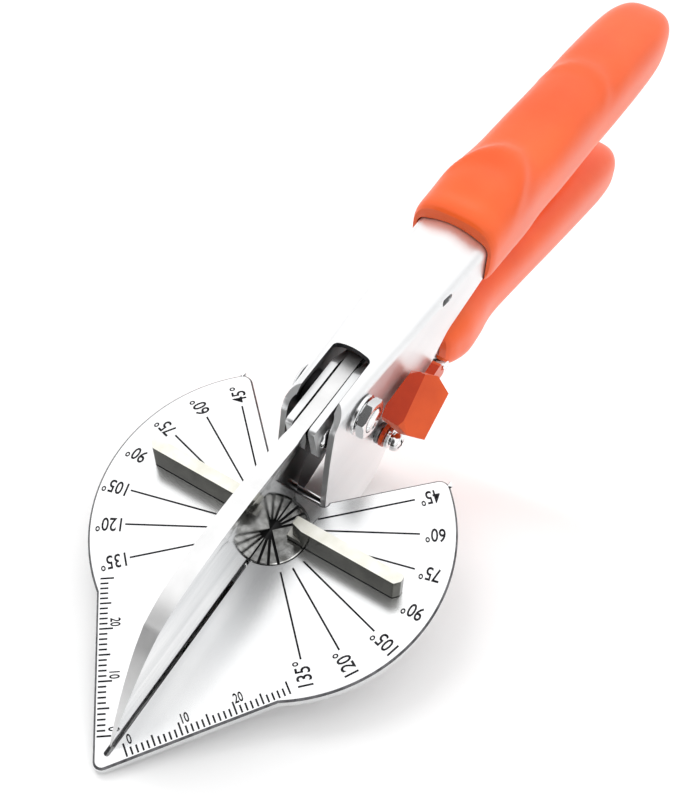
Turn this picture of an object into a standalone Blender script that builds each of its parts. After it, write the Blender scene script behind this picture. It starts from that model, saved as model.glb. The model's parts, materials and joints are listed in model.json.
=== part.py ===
"""Multi-angle mitre shears: a protractor jaw, a leaf-shaped blade, a turning fence and a thumb latch.

The origin is the centre of the fence disc on the protractor's working face. +X runs along the blade to
the protractor's tip, +Z is up out of the working face and the handles run back along -X.
Lengths below are in millimetres and angles in degrees. MM turns them into metres when a mesh is made.
A side outline is a list of (x, z) points, and a plan outline is a list of (x, y) points.
"""

import math

import bmesh
import bpy
from mathutils import Matrix, Vector

MM = 0.001
GAP = 0.3
ROUND = 32

# Protractor plate
PLATE_THICK = 2.0
PLATE_RADIUS = 35.0
PLATE_ARC_X = -1.0
TIP_X = 55.2
TIP_HALF_ANGLE = 36.0
REAR_EDGE_SUM = -4.5
NOTCH_X = -9.4
NOTCH_HALF = 6.4
DISC_RADIUS = 7.4
SLOT_HALF = 0.55
SLOT_END_X = 51.5
JAW_THICK = 1.5
JAW_TOP = -PLATE_THICK - GAP
JAW_BOTTOM = JAW_TOP - JAW_THICK

# Pressed body and lever
SHEET = 1.2
LEVER_SHEET = 1.4
PIVOT = (-21.5, 17.5)
PIVOT_RADIUS = 2.4
MOUTH_X = -29.0
MOUTH_HALF = 4.0
FORK_HALF = 3.1
CHEEK_PIN_RADIUS = 1.3
BODY_STATIONS = [
    # x, outer half width, crown height
    (-156.0, 6.4, 3.2),
    (-110.0, 7.4, 12.2),
    (-77.0, 8.0, 19.2),
    (-66.0, 7.9, 20.8),
    (-45.0, 7.2, 23.2),
    (-29.0, 6.4, 24.8),
    (-21.5, 6.1, 25.4),
    (-12.0, 5.7, 26.0),
    (0.0, 5.4, 27.0),
    (38.0, 3.6, 29.0),
]
LEVER_STATIONS = [
    # x, outer half width, underside height
    (-146.0, 6.6, -39.3),
    (-62.0, 6.6, -9.6),
    (-57.0, 6.1, -7.8),
    (-52.0, 5.4, -6.0),
    (-46.0, 4.6, -3.9),
    (-38.0, 3.6, -1.1),
    (-34.0, FORK_HALF, 0.3),
    (-8.0, FORK_HALF, 9.5),
]

# Grips: x, centre height, half width, half height
UPPER_GRIP = [
    (-67.5, 14.6, 9.0, 8.4),
    (-70.0, 14.4, 9.3, 9.2),
    (-78.0, 13.2, 9.5, 10.4),
    (-86.0, 11.4, 9.4, 10.6),
    (-92.0, 10.0, 9.2, 9.9),
    (-106.0, 7.2, 9.2, 9.9),
    (-122.0, 4.2, 9.1, 9.5),
    (-132.0, 2.3, 9.2, 9.5),
    (-148.0, -0.8, 9.2, 9.0),
    (-160.0, -3.0, 8.9, 8.6),
    (-167.0, -4.2, 7.6, 7.4),
    (-171.0, -4.9, 5.2, 5.0),
    (-172.4, -5.1, 2.2, 2.2),
]
LOWER_GRIP = [
    (-54.5, -2.0, 7.0, 6.2),
    (-57.0, -3.0, 9.0, 7.7),
    (-62.0, -4.6, 9.9, 9.0),
    (-68.0, -6.6, 9.4, 8.7),
    (-76.0, -8.8, 8.5, 7.8),
    (-90.0, -13.6, 8.5, 7.8),
    (-110.0, -20.4, 8.8, 8.2),
    (-130.0, -27.5, 8.9, 8.4),
    (-142.0, -31.8, 8.8, 8.2),
    (-149.0, -34.3, 7.8, 7.2),
    (-153.0, -35.7, 5.2, 4.8),
    (-154.2, -36.1, 2.2, 2.0),
]
GRIP_SQUARENESS = 3.0
GRIP_SIDES = 28
UPPER_CAVITY_END = -157.0
LOWER_CAVITY_END = -148.0

# Blade
SPINE_HALF = 1.8
TANG_HALF = 1.4
TANG_END_X = -9.5
EDGE_HALF = 0.12
SPINE_Z = 24.2
EDGE_Z = 0.3
HEEL_X = -8.5
BLADE_BOLTS = [(-14.6, 15.6), (-28.6, 15.2)]
BLADE_BOLT_RADIUS = 1.2

# Fence
BAR_HEIGHT = 6.0
BAR_FRONT = 0.1
BAR_BACK = -2.4
BAR_INNER = 4.6
BAR_OUTER = 27.7
FOOT_INNER = 3.7
FOOT_HEIGHT = 1.3
HUB_RADIUS = 2.4
HUB_END = -8.6
GROOVE_ANGLES = (-45, -30, -15, 0, 15, 30, 45)
GROOVE_DEPTH = 0.5
GROOVE_HALF = 0.3
LAND_RADIUS = 2.6
BAR_PIN_X = -1.1
BAR_PIN_Y = 5.6

# Latch
LATCH_PIVOT = (-28.6, 1.5)
LATCH_INNER = 7.8
LATCH_SCREW_RADIUS = 1.2
CATCH_PIN = (-51.8, -2.9)
CATCH_PIN_RADIUS = 1.2

# Spring between the two handles
SPRING_X = -50.4
SPRING_TOP = 20.2
SPRING_BOTTOM = -2.2
SPRING_RADIUS = 3.0
SPRING_WIRE = 0.45
SPRING_TURNS = 9


# ---- scene and materials


def clear_scene():
    for item in list(bpy.data.objects):
        bpy.data.objects.remove(item, do_unlink=True)


def make_collection(name, hidden):
    collection = bpy.data.collections.new(name)
    collection.hide_render = hidden
    bpy.context.scene.collection.children.link(collection)
    return collection


clear_scene()
PARTS = make_collection("mitre_shears", False)
CUTTERS = make_collection("cutters", True)

FINISHES = {
    "chrome": ((0.86, 0.87, 0.88), 0.12, 1.0),
    "polished_steel": ((0.90, 0.90, 0.88), 0.22, 1.0),
    "blade_steel": ((0.62, 0.63, 0.62), 0.15, 1.0),
    "fence_steel": ((0.45, 0.45, 0.38), 0.25, 1.0),
    "spring_steel": ((0.30, 0.30, 0.31), 0.35, 1.0),
    "orange_grip": ((0.95, 0.25, 0.10), 0.45, 0.0),
    "orange_latch": ((0.85, 0.14, 0.04), 0.40, 0.0),
}


def material_for(piece_name, finish):
    colour, roughness, metallic = FINISHES[finish]
    material = bpy.data.materials.new(piece_name)
    material.use_nodes = True
    shader = material.node_tree.nodes["Principled BSDF"]
    shader.inputs["Base Color"].default_value = (*colour, 1.0)
    shader.inputs["Roughness"].default_value = roughness
    shader.inputs["Metallic"].default_value = metallic
    return material


def register(piece, finish):
    """Puts a finished piece in the parts collection with a material of its own, or among the cutters."""
    for collection in list(piece.users_collection):
        collection.objects.unlink(piece)
    if finish is None:
        CUTTERS.objects.link(piece)
        piece.hide_render = True
        piece.display_type = "WIRE"
        return piece
    PARTS.objects.link(piece)
    piece.data.materials.clear()
    piece.data.materials.append(material_for(piece.name, finish))
    return piece


def from_bmesh(name, shape, finish):
    """A new object from a bmesh in millimetres."""
    bmesh.ops.scale(shape, vec=(MM, MM, MM), verts=shape.verts)
    mesh = bpy.data.meshes.new(name)
    shape.to_mesh(mesh)
    shape.free()
    piece = bpy.data.objects.new(name, mesh)
    register(piece, finish)
    mesh.shade_smooth()
    mesh.set_sharp_from_angle(angle=math.radians(32))
    return piece


# ---- outlines


def arc(centre, radius, start, end, count):
    angles = [start + (end - start) * i / count for i in range(count + 1)]
    return [
        (
            centre[0] + radius * math.cos(math.radians(a)),
            centre[1] + radius * math.sin(math.radians(a)),
        )
        for a in angles
    ]


def rounded(corners, count=4):
    """A closed outline whose corners (x, y, radius) are rounded by arcs."""
    outline = []
    for i, (x, y, radius) in enumerate(corners):
        here = Vector((x, y))
        if radius == 0:
            outline.append((x, y))
            continue
        before = (Vector(corners[i - 1][:2]) - here).normalized()
        after = (Vector(corners[(i + 1) % len(corners)][:2]) - here).normalized()
        half = before.angle(after) / 2
        centre = here + (before + after).normalized() * radius / math.sin(half)
        first = here + before * radius / math.tan(half)
        turn = (first - centre).angle_signed(here + after * radius / math.tan(half) - centre)
        for step in range(count + 1):
            spoke = (first - centre).copy()
            spoke.rotate(Matrix.Rotation(-turn * step / count, 2))
            outline.append(tuple(centre + spoke))
    return outline


def smooth(points, per_span):
    """A Catmull-Rom curve through the points."""
    ends = [points[0], *points, points[-1]]
    curve = []
    for a, b, c, d in zip(ends, ends[1:], ends[2:], ends[3:]):
        for step in range(per_span):
            t = step / per_span
            curve.append(
                tuple(
                    0.5
                    * (
                        2 * b[k]
                        + (c[k] - a[k]) * t
                        + (2 * a[k] - 5 * b[k] + 4 * c[k] - d[k]) * t * t
                        + (3 * b[k] - a[k] - 3 * c[k] + d[k]) * t**3
                    )
                    for k in (0, 1)
                )
            )
    curve.append(points[-1])
    return curve


def between(stations, x):
    """The values of a table of stations at x, by straight interpolation."""
    rows = sorted(stations)
    if x <= rows[0][0]:
        return rows[0][1:]
    for low, high in zip(rows, rows[1:]):
        if x <= high[0]:
            share = (x - low[0]) / (high[0] - low[0])
            return tuple(a + (b - a) * share for a, b in zip(low[1:], high[1:]))
    return rows[-1][1:]


# ---- solids


def from_curve(name, curve_object, finish):
    """Turns a curve object into a mesh object with its caps welded, in metres."""
    bpy.context.view_layer.update()
    graph = bpy.context.evaluated_depsgraph_get()
    mesh = bpy.data.meshes.new_from_object(curve_object.evaluated_get(graph))
    weld = bmesh.new()
    weld.from_mesh(mesh)
    bmesh.ops.remove_doubles(weld, verts=weld.verts, dist=1e-6)
    bmesh.ops.recalc_face_normals(weld, faces=weld.faces)
    weld.to_mesh(mesh)
    weld.free()
    bpy.data.objects.remove(curve_object, do_unlink=True)
    piece = bpy.data.objects.new(name, mesh)
    register(piece, finish)
    return piece


def slab(name, outline, low, high, finish, upright=False):
    """An outline extruded from low to high: along Z for a plan outline, along Y for a side outline."""
    curve = bpy.data.curves.new(name, "CURVE")
    curve.dimensions = "2D"
    curve.fill_mode = "BOTH"
    curve.extrude = (high - low) / 2 * MM
    spline = curve.splines.new("POLY")
    spline.points.add(len(outline) - 1)
    for point, (x, y) in zip(spline.points, outline):
        point.co = (x * MM, y * MM, 0.0, 1.0)
    spline.use_cyclic_u = True
    flat = bpy.data.objects.new(name + "_outline", curve)
    bpy.context.scene.collection.objects.link(flat)
    piece = from_curve(name, flat, finish)
    middle = (low + high) / 2 * MM
    if upright:
        piece.data.transform(Matrix.Rotation(math.radians(90), 4, "X"))
        piece.data.transform(Matrix.Translation((0, middle, 0)))
    else:
        piece.data.transform(Matrix.Translation((0, 0, middle)))
    piece.data.shade_smooth()
    piece.data.set_sharp_from_angle(angle=math.radians(32))
    return piece


def cylinder(name, centre, axis, radius, low, high, finish, sides=ROUND):
    """A cylinder or prism from low to high along axis "Y" or "Z", through centre."""
    shape = bmesh.new()
    bmesh.ops.create_cone(
        shape,
        cap_ends=True,
        segments=sides,
        radius1=radius,
        radius2=radius,
        depth=high - low,
    )
    bmesh.ops.translate(shape, vec=(0, 0, (low + high) / 2), verts=shape.verts)
    if axis == "Y":
        upright = Matrix.Rotation(math.radians(-90), 3, "X")
        bmesh.ops.rotate(shape, cent=(0, 0, 0), matrix=upright, verts=shape.verts)
        bmesh.ops.translate(shape, vec=(centre[0], 0, centre[1]), verts=shape.verts)
    else:
        bmesh.ops.translate(shape, vec=(centre[0], centre[1], 0), verts=shape.verts)
    return from_bmesh(name, shape, finish)


def box(name, low, high, finish=None):
    shape = bmesh.new()
    bmesh.ops.create_cube(shape, size=1)
    size = Vector(high) - Vector(low)
    bmesh.ops.scale(shape, vec=size, verts=shape.verts)
    bmesh.ops.translate(shape, vec=Vector(low) + size / 2, verts=shape.verts)
    return from_bmesh(name, shape, finish)


def turned(name, centre, axis, profile, finish):
    """A turned solid from a profile of (radius, height) points, outer side running down."""
    shape = bmesh.new()
    corners = [shape.verts.new((radius, 0, height)) for radius, height in profile]
    closed = profile[0][0] > 0
    for a, b in zip(corners, corners[1:]):
        shape.edges.new((a, b))
    if closed:
        shape.edges.new((corners[-1], corners[0]))
    piece = from_bmesh(name, shape, finish)
    screw = piece.modifiers.new("turn", "SCREW")
    screw.steps = ROUND
    screw.render_steps = ROUND
    screw.use_merge_vertices = True
    screw.merge_threshold = 1e-6
    if axis == "Y":
        piece.rotation_euler = (math.radians(-90), 0, 0)
        piece.location = (centre[0] * MM, 0, centre[1] * MM)
    else:
        piece.location = (centre[0] * MM, centre[1] * MM, 0)
    return piece


def loft(name, rings, finish):
    """A closed solid through rings of points that all have the same count."""
    shape = bmesh.new()
    loops = [[shape.verts.new(point) for point in ring] for ring in rings]
    for first, second in zip(loops, loops[1:]):
        for i in range(len(first)):
            j = (i + 1) % len(first)
            shape.faces.new((first[i], first[j], second[j], second[i]))
    shape.faces.new(reversed(loops[0]))
    shape.faces.new(loops[-1])
    bmesh.ops.recalc_face_normals(shape, faces=shape.faces)
    return from_bmesh(name, shape, finish)


def sheet(name, sections, thickness, finish):
    """A pressed sheet: an open surface through sections of points, thickened to its inner side."""
    shape = bmesh.new()
    rows = [[shape.verts.new(point) for point in section] for section in sections]
    for first, second in zip(rows, rows[1:]):
        for i in range(len(first) - 1):
            shape.faces.new((first[i], first[i + 1], second[i + 1], second[i]))
    piece = from_bmesh(name, shape, finish)
    shell = piece.modifiers.new("sheet", "SOLIDIFY")
    shell.thickness = thickness * MM
    shell.offset = -1.0
    shell.use_even_offset = True
    return piece


def boolean(piece, cutter, operation="DIFFERENCE"):
    cut = piece.modifiers.new(cutter.name, "BOOLEAN")
    cut.operation = operation
    cut.object = cutter
    return piece


def drill(piece, centre, axis, radius, low, high):
    hole = cylinder(f"{piece.name}_hole", centre, axis, radius, low, high, None)
    return boolean(piece, hole)


# ---- sections


def upright_u(x, half, crown, floor):
    """Section of the body: cheeks up from the floor, round shoulders and a slightly crowned web."""
    shoulder = 3.0
    rise = 1.3
    right = [(half, floor)]
    right += arc((half - shoulder, crown - rise - shoulder), shoulder, 0, 78, 4)
    half_section = [(x, y, z) for y, z in right]
    left = [(x, -y, z) for x, y, z in reversed(half_section)]
    return half_section + [(x, 0.0, crown)] + left


def open_u(x, half, underside, top):
    """Section of the lever: cheeks down from the top, round corners and a flat web below."""
    corner = min(2.4, half - 0.6)
    right = [(half, top)]
    right += arc((half - corner, underside + corner), corner, 0, -90, 4)
    half_section = [(x, y, z) for y, z in right]
    left = [(x, -y, z) for x, y, z in reversed(half_section)]
    return half_section + left


def grip_ring(x, centre, half_width, half_height):
    ring = []
    for i in range(GRIP_SIDES):
        angle = 2 * math.pi * i / GRIP_SIDES
        c = math.cos(angle)
        s = math.sin(angle)
        y = math.copysign(abs(c) ** (2 / GRIP_SQUARENESS), c) * half_width
        z = math.copysign(abs(s) ** (2 / GRIP_SQUARENESS), s) * half_height
        ring.append((x, y, centre + z))
    return ring


# ---- body


BODY_SIDE = [
    (-156.0, 60.0, 0),
    (-19.0, 60.0, 0),
    (-18.0, 24.4, 0),
    (-13.6, 21.0, 4.0),
    (-12.0, 12.0, 0),
    (-10.6, 0.0, 0),
    (-10.4, JAW_BOTTOM - GAP, 0),
    (42.0, JAW_BOTTOM - GAP, 0),
    (41.0, -5.4, 0),
    (0.0, -14.0, 12.0),
    (-19.0, -17.8, 4.0),
    (-28.0, -17.0, 4.0),
    (-33.0, -10.6, 3.0),
    (-46.5, 0.0, 8.0),
    (-54.0, 6.4, 6.0),
    (-68.0, 9.0, 0),
    (-156.0, -7.4, 0),
]
JAW_RIVETS = {"jaw_rivet_front": (26.0, -7.0), "jaw_rivet_rear": (-15.0, -12.0)}


def body_channel():
    sections = [upright_u(x, half, crown, -30.0) for x, half, crown in BODY_STATIONS]
    piece = sheet("body_channel", sections, SHEET, "chrome")
    boolean(piece, slab("body_side", rounded(BODY_SIDE), -12, 12, None, upright=True), "INTERSECT")
    boolean(piece, box("body_mouth", (MOUTH_X, -MOUTH_HALF, 15.0), (60.0, MOUTH_HALF, 40.0)))
    drill(piece, PIVOT, "Y", PIVOT_RADIUS + GAP, -12, 12)
    drill(piece, LATCH_PIVOT, "Y", LATCH_SCREW_RADIUS + GAP, -12, 12)
    for place in JAW_RIVETS.values():
        drill(piece, place, "Y", CHEEK_PIN_RADIUS + GAP, -12, 12)
    slot = rounded([(-54.0, 17.2, 0.7), (-50.4, 18.0, 0.7), (-50.4, 19.6, 0.7), (-54.0, 18.8, 0.7)], 3)
    boolean(piece, slab("cheek_slot", slot, -12, 12, None, upright=True))
    return piece


def upper_grip():
    piece = loft("upper_grip", [grip_ring(*station) for station in UPPER_GRIP], "orange_grip")
    rings = []
    for x in (-60.0, -66.0, -77.0, -110.0, -156.0, UPPER_CAVITY_END):
        half, crown = between(BODY_STATIONS, x)
        rings.append(upright_u(x, half + GAP, crown + GAP, crown - 11.9))
    return boolean(piece, loft("upper_grip_cavity", rings, None))


def plate_outline():
    """Plan outline: a point at the front, two round lobes and straight rear edges round a notch."""
    slope = math.tan(math.radians(TIP_HALF_ANGLE))
    a = 1 + slope**2
    b = -2 * PLATE_ARC_X - 2 * slope**2 * TIP_X
    c = PLATE_ARC_X**2 + (slope * TIP_X) ** 2 - PLATE_RADIUS**2
    kink_x = (-b + math.sqrt(b * b - 4 * a * c)) / (2 * a)
    kink_y = (TIP_X - kink_x) * slope
    start = math.degrees(math.atan2(kink_y, kink_x - PLATE_ARC_X))
    shift = REAR_EDGE_SUM - PLATE_ARC_X
    corner_y = (shift + math.sqrt(2 * PLATE_RADIUS**2 - shift**2)) / 2
    corner_x = REAR_EDGE_SUM - corner_y
    end = math.degrees(math.atan2(corner_y, corner_x - PLATE_ARC_X))
    lobe = arc((PLATE_ARC_X, 0.0), PLATE_RADIUS, start, end, 30)
    half = [(x, y, 0) for x, y in lobe[:-1]]
    half.append((corner_x, corner_y, 2.2))
    half.append((REAR_EDGE_SUM - NOTCH_HALF, NOTCH_HALF, 0))
    half.append((NOTCH_X, NOTCH_HALF, 1.0))
    other = [(x, -y, radius) for x, y, radius in reversed(half)]
    return rounded([(TIP_X, 0.0, 1.6), *half, *other], 3)


JAW_SCREWS = [(-3.0, 9.2), (-3.0, -9.2), (19.0, 7.1), (19.0, -7.1)]


def base_plate():
    piece = slab("base_plate", plate_outline(), -PLATE_THICK, 0.0, "polished_steel")
    drill(piece, (0, 0), "Z", DISC_RADIUS + GAP, -5, 5)
    boolean(piece, box("blade_slot", (6.0, -SLOT_HALF, -5), (SLOT_END_X, SLOT_HALF, 5)))
    for place in JAW_SCREWS:
        drill(piece, place, "Z", 1.4, -5, -0.6)
    return piece


def lower_jaw():
    half = [(49.0, 0.9, 0), (22.0, 8.6, 10.0), (4.0, 12.0, 6.0), (-9.8, 12.0, 3.0)]
    other = [(x, -y, radius) for x, y, radius in reversed(half)]
    piece = slab("lower_jaw", rounded(half + other), JAW_BOTTOM, JAW_TOP, "chrome")
    drill(piece, (0, 0), "Z", HUB_RADIUS + GAP, -10, 5)
    boolean(piece, box("jaw_slot", (12.0, -SLOT_HALF, -10), (46.0, SLOT_HALF, 5)))
    for place in JAW_SCREWS:
        drill(piece, place, "Z", 1.4, -10, 5)
    return piece


def jaw_screw(name, place):
    profile = [(0.0, -0.9), (1.1, -0.9), (1.1, -4.1), (1.9, -4.1), (1.7, -5.3), (0.0, -5.5)]
    return turned(name, place, "Z", profile, "chrome")


def pivot_bolt():
    half = between(BODY_STATIONS, PIVOT[0])[0]
    head = -(half + GAP)
    head_radius = 4.1
    dome = [(PIVOT_RADIUS, head), (head_radius, head)]
    for angle in (15, 35, 55, 75):
        spread = math.cos(math.radians(angle))
        rise = math.sin(math.radians(angle))
        dome.append((head_radius * spread, head - 1.5 * rise))
    profile = [(0.0, 9.5), (2.0, 9.5), (PIVOT_RADIUS, 9.1), *dome, (0.0, head - 1.5)]
    return turned("pivot_bolt", PIVOT, "Y", profile, "chrome")


def washer(name, centre, axis, inner, outer, low, high, finish="chrome"):
    profile = [(outer, high), (outer, low), (inner, low), (inner, high)]
    return turned(name, centre, axis, profile, finish)


def nut(name, centre, axis, inner, corner, low, high):
    piece = cylinder(name, centre, axis, corner, low, high, "chrome", sides=6)
    outside = corner + 1.0
    inside = corner - 0.5
    crown = [(outside, high + 1.0), (outside, high - 0.2), (inside, high), (inside, high + 1.0)]
    if axis == "Y":
        boolean(piece, turned(f"{name}_crown", centre, axis, crown, None))
    return drill(piece, centre, axis, inner, low - 2, high + 2)


def pivot_fasteners():
    half = between(BODY_STATIONS, PIVOT[0])[0]
    bore = PIVOT_RADIUS + 0.25
    face = half + GAP
    pivot_bolt()
    washer("pivot_washer", PIVOT, "Y", bore, 4.1, face, face + 0.7)
    nut("pivot_nut", PIVOT, "Y", bore, 4.1, face + 0.7 + GAP, face + 2.4 + GAP)
    inside = half - SHEET - GAP
    for side, name in ((-1, "pivot_spacer_left"), (1, "pivot_spacer_right")):
        ends = sorted((side * (FORK_HALF + GAP), side * inside))
        washer(name, PIVOT, "Y", bore, 3.9, ends[0], ends[1])


def jaw_rivet(name, place):
    """A rivet through both cheeks that closes the jaw under the protractor."""
    face = between(BODY_STATIONS, place[0])[0] + GAP
    radius = CHEEK_PIN_RADIUS
    profile = [(0.0, face + 1.0), (1.5, face + 0.8), (2.4, face), (radius, face)]
    profile += [(radius, -face), (2.4, -face), (1.5, -face - 0.8), (0.0, -face - 1.0)]
    return turned(name, place, "Y", profile, "chrome")


# ---- lever, blade and lower grip


LEVER_SIDE = [
    (-10.6, 22.0, 1.0),
    (-27.0, 21.2, 3.0),
    (-34.0, 17.0, 6.0),
    (-47.0, 8.0, 8.0),
    (-59.0, -1.2, 4.0),
    (-146.0, -29.9, 0),
    (-146.0, -60.0, 0),
    (-54.0, -16.0, 0),
    (-47.6, -5.0, 3.0),
    (-38.6, 9.6, 2.0),
    (-30.0, 10.2, 3.0),
    (-22.0, 9.2, 6.0),
    (-12.0, 11.6, 2.0),
]


def lever_channel():
    sections = [open_u(x, half, underside, 40.0) for x, half, underside in LEVER_STATIONS]
    piece = sheet("lever_channel", [list(reversed(s)) for s in sections], LEVER_SHEET, "chrome")
    boolean(piece, slab("lever_side", rounded(LEVER_SIDE), -12, 12, None, upright=True), "INTERSECT")
    drill(piece, PIVOT, "Y", PIVOT_RADIUS + GAP, -12, 12)
    for place in BLADE_BOLTS:
        drill(piece, place, "Y", BLADE_BOLT_RADIUS + GAP, -12, 12)
    return drill(piece, CATCH_PIN, "Y", CATCH_PIN_RADIUS + GAP, 0, 12)


def lower_grip():
    piece = loft("lower_grip", [grip_ring(*station) for station in LOWER_GRIP], "orange_grip")
    rings = []
    for x in (-52.0, -57.0, -62.0, -146.0, LOWER_CAVITY_END):
        half, underside = between(LEVER_STATIONS, x)
        rings.append(open_u(x, half + GAP, underside - GAP, underside + 10.2))
    return boolean(piece, loft("lower_grip_cavity", rings, None))


SPINE = [
    (-26.5, 20.9),
    (-10.0, 21.9),
    (4.0, 23.7),
    (17.0, SPINE_Z),
    (28.0, 23.0),
    (34.5, 20.6),
]
NOSE = [
    (34.5, 20.6),
    (38.6, 16.8),
    (43.0, 11.4),
    (47.2, 5.4),
    (50.2, EDGE_Z),
]
HEEL = [
    (HEEL_X, EDGE_Z),
    (HEEL_X - 0.6, 5.0),
    (HEEL_X - 2.0, 9.6),
    (-12.9, 11.7),
    (-26.5, 11.5),
]


def blade():
    """A wedge: the side faces slope from a thick spine to a thin edge. The tang is thinner."""
    tang = arc((-28.6, 16.2), 4.7, 270, 90, 8)[1:-1]
    outline = smooth(SPINE, 3) + smooth(NOSE, 3)[1:] + HEEL + tang
    piece = slab("blade", outline, -1, 1, "blade_steel", upright=True)
    for vertex in piece.data.vertices:
        share = max(0.0, (vertex.co.z / MM - EDGE_Z) / (SPINE_Z - EDGE_Z))
        half = EDGE_HALF + (SPINE_HALF - EDGE_HALF) * min(share, 1.0)
        if vertex.co.x / MM < TANG_END_X:
            half = min(half, TANG_HALF)
        vertex.co.y = math.copysign(half, vertex.co.y) * MM
    drill(piece, PIVOT, "Y", PIVOT_RADIUS + GAP, -12, 12)
    for place in BLADE_BOLTS:
        drill(piece, place, "Y", BLADE_BOLT_RADIUS + GAP, -12, 12)
    return piece


def blade_bolts():
    head = FORK_HALF + 0.15
    end = -FORK_HALF - 1.1
    for label, place in zip(("front", "rear"), BLADE_BOLTS):
        profile = [(0.0, head + 0.9), (1.7, head + 0.8), (2.1, head), (BLADE_BOLT_RADIUS, head)]
        profile += [(BLADE_BOLT_RADIUS, end), (0.0, end)]
        turned(f"blade_bolt_{label}", place, "Y", profile, "chrome")
        nut(f"blade_nut_{label}", place, "Y", BLADE_BOLT_RADIUS + 0.2, 2.2, end - 0.1, end + 0.95)


def catch_pin():
    collar = between(LEVER_STATIONS, CATCH_PIN[0])[0] + GAP
    profile = [(0.0, 9.2), (1.3, 9.2), (1.5, 9.0), (1.5, collar)]
    profile += [(CATCH_PIN_RADIUS, collar), (CATCH_PIN_RADIUS, 4.1), (0.0, 4.1)]
    return turned("catch_pin", CATCH_PIN, "Y", profile, "chrome")


# ---- fence


def fence_disc():
    """A disc flush with the plate, with a groove for the blade's edge at each printed angle."""
    hub = [(0.0, 0.0), (LAND_RADIUS, 0.0), (DISC_RADIUS, 0.0), (DISC_RADIUS, -PLATE_THICK)]
    hub += [(HUB_RADIUS, -PLATE_THICK), (HUB_RADIUS, HUB_END), (0.0, HUB_END)]
    piece = turned("fence_disc", (0, 0), "Z", hub, "polished_steel")
    for angle in GROOVE_ANGLES:
        for turn in (angle, angle + 180):
            start = -1.0 if angle == 0 else LAND_RADIUS
            groove = box(f"disc_groove_{turn}", (start, -GROOVE_HALF, -GROOVE_DEPTH), (9, GROOVE_HALF, 1))
            groove.rotation_euler = (0, 0, math.radians(turn))
            boolean(piece, groove)
    for side in (-1, 1):
        drill(piece, (BAR_PIN_X, side * BAR_PIN_Y), "Z", 0.9, -1.5, 2)
    return piece


def fence_bar(name, side):
    """A straight bar with a low foot over the disc and a chamfered outer end."""
    corners = [(BAR_BACK, BAR_INNER), (BAR_FRONT, BAR_INNER), (BAR_FRONT, BAR_OUTER - 1.2)]
    corners += [(BAR_FRONT - 1.2, BAR_OUTER), (BAR_BACK, BAR_OUTER)]
    outline = [(x, side * y) for x, y in corners]
    piece = slab(name, outline, GAP, GAP + BAR_HEIGHT, "fence_steel")
    near, far = sorted((side * FOOT_INNER, side * (BAR_INNER + 3)))
    foot = box(f"{name}_foot", (BAR_BACK, near, GAP), (BAR_FRONT, far, GAP + FOOT_HEIGHT))
    boolean(piece, foot, "UNION")
    bevel = piece.modifiers.new("edges", "BEVEL")
    bevel.width = 0.35 * MM
    bevel.segments = 1
    return drill(piece, (BAR_PIN_X, side * BAR_PIN_Y), "Z", 0.75, -2, 5)


def fence_pin(name, side):
    """A pin that holds the bar to the disc from below."""
    profile = [(0.0, 4.6), (0.5, 4.6), (0.5, -1.2), (0.0, -1.2)]
    return turned(name, (BAR_PIN_X, side * BAR_PIN_Y), "Z", profile, "chrome")


def fence_fasteners():
    top = JAW_BOTTOM - GAP
    washer("fence_spring_washer", (0, 0), "Z", HUB_RADIUS + 0.25, 3.8, top - 0.8, top, "spring_steel")
    nut("fence_hub_nut", (0, 0), "Z", HUB_RADIUS + 0.25, 3.7, top - 3.4, top - 0.8 - GAP)


# ---- latch


LATCH_SIDE = [
    (-26.3, -0.8, 2.2),
    (-26.3, 3.8, 2.2),
    (-30.6, 3.6, 1.0),
    (-31.6, 9.0, 1.0),
    (-39.0, 9.4, 1.2),
    (-44.0, 3.0, 1.5),
    (-48.2, 3.5, 0.8),
    (-48.5, 0.4, 0.5),
    (-49.8, -0.4, 0.5),
    (-49.6, -2.2, 0.5),
    (-45.6, -1.6, 1.0),
    (-36.0, -0.2, 3.0),
    (-31.4, -0.9, 2.0),
]
LATCH_THICK = 1.9
BOSS_THICK = 0.8
PAD_THICK = 2.4
PAD_LEFT = [
    # the pad's two flat faces share a ridge: each list ends with the ridge's two ends
    (-36.7, 8.3, 13.2),
    (-29.4, 7.4, 10.8),
    (-27.2, 7.8, 10.0),
    (-27.3, 11.4, 9.6),
    (-37.9, 9.7, 13.4),
    (-38.0, 11.0, 13.3),
    (-28.6, 11.9, 10.0),
]
PAD_RIGHT = [
    (-40.1, 12.8, 11.5),
    (-39.8, 15.6, 8.0),
    (-29.8, 16.1, 5.0),
    (-27.3, 13.4, 7.9),
    (-38.0, 11.0, 13.3),
    (-28.6, 11.9, 10.0),
]


def facet_normal(corners):
    """The upward unit normal of a flat face."""
    first, second, third = (Vector(corner) for corner in (corners[0], corners[2], corners[-1]))
    normal = (second - first).cross(third - first).normalized()
    return normal if normal.z > 0 else -normal


def thumb_pad():
    """A closed slab below the two faces of the pad, kept clear of the cheek."""
    shape = bmesh.new()
    below = facet_normal(PAD_RIGHT) * PAD_THICK
    for corner in PAD_LEFT + PAD_RIGHT:
        under = Vector(corner) - below
        shape.verts.new(corner)
        shape.verts.new((under.x, max(under.y, LATCH_INNER), under.z))
    bmesh.ops.remove_doubles(shape, verts=shape.verts, dist=0.01)
    bmesh.ops.convex_hull(shape, input=shape.verts)
    loose = [vertex for vertex in shape.verts if not vertex.link_faces]
    bmesh.ops.delete(shape, geom=loose, context="VERTS")
    bmesh.ops.recalc_face_normals(shape, faces=shape.faces)
    return from_bmesh("latch_pad", shape, None)


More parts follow.
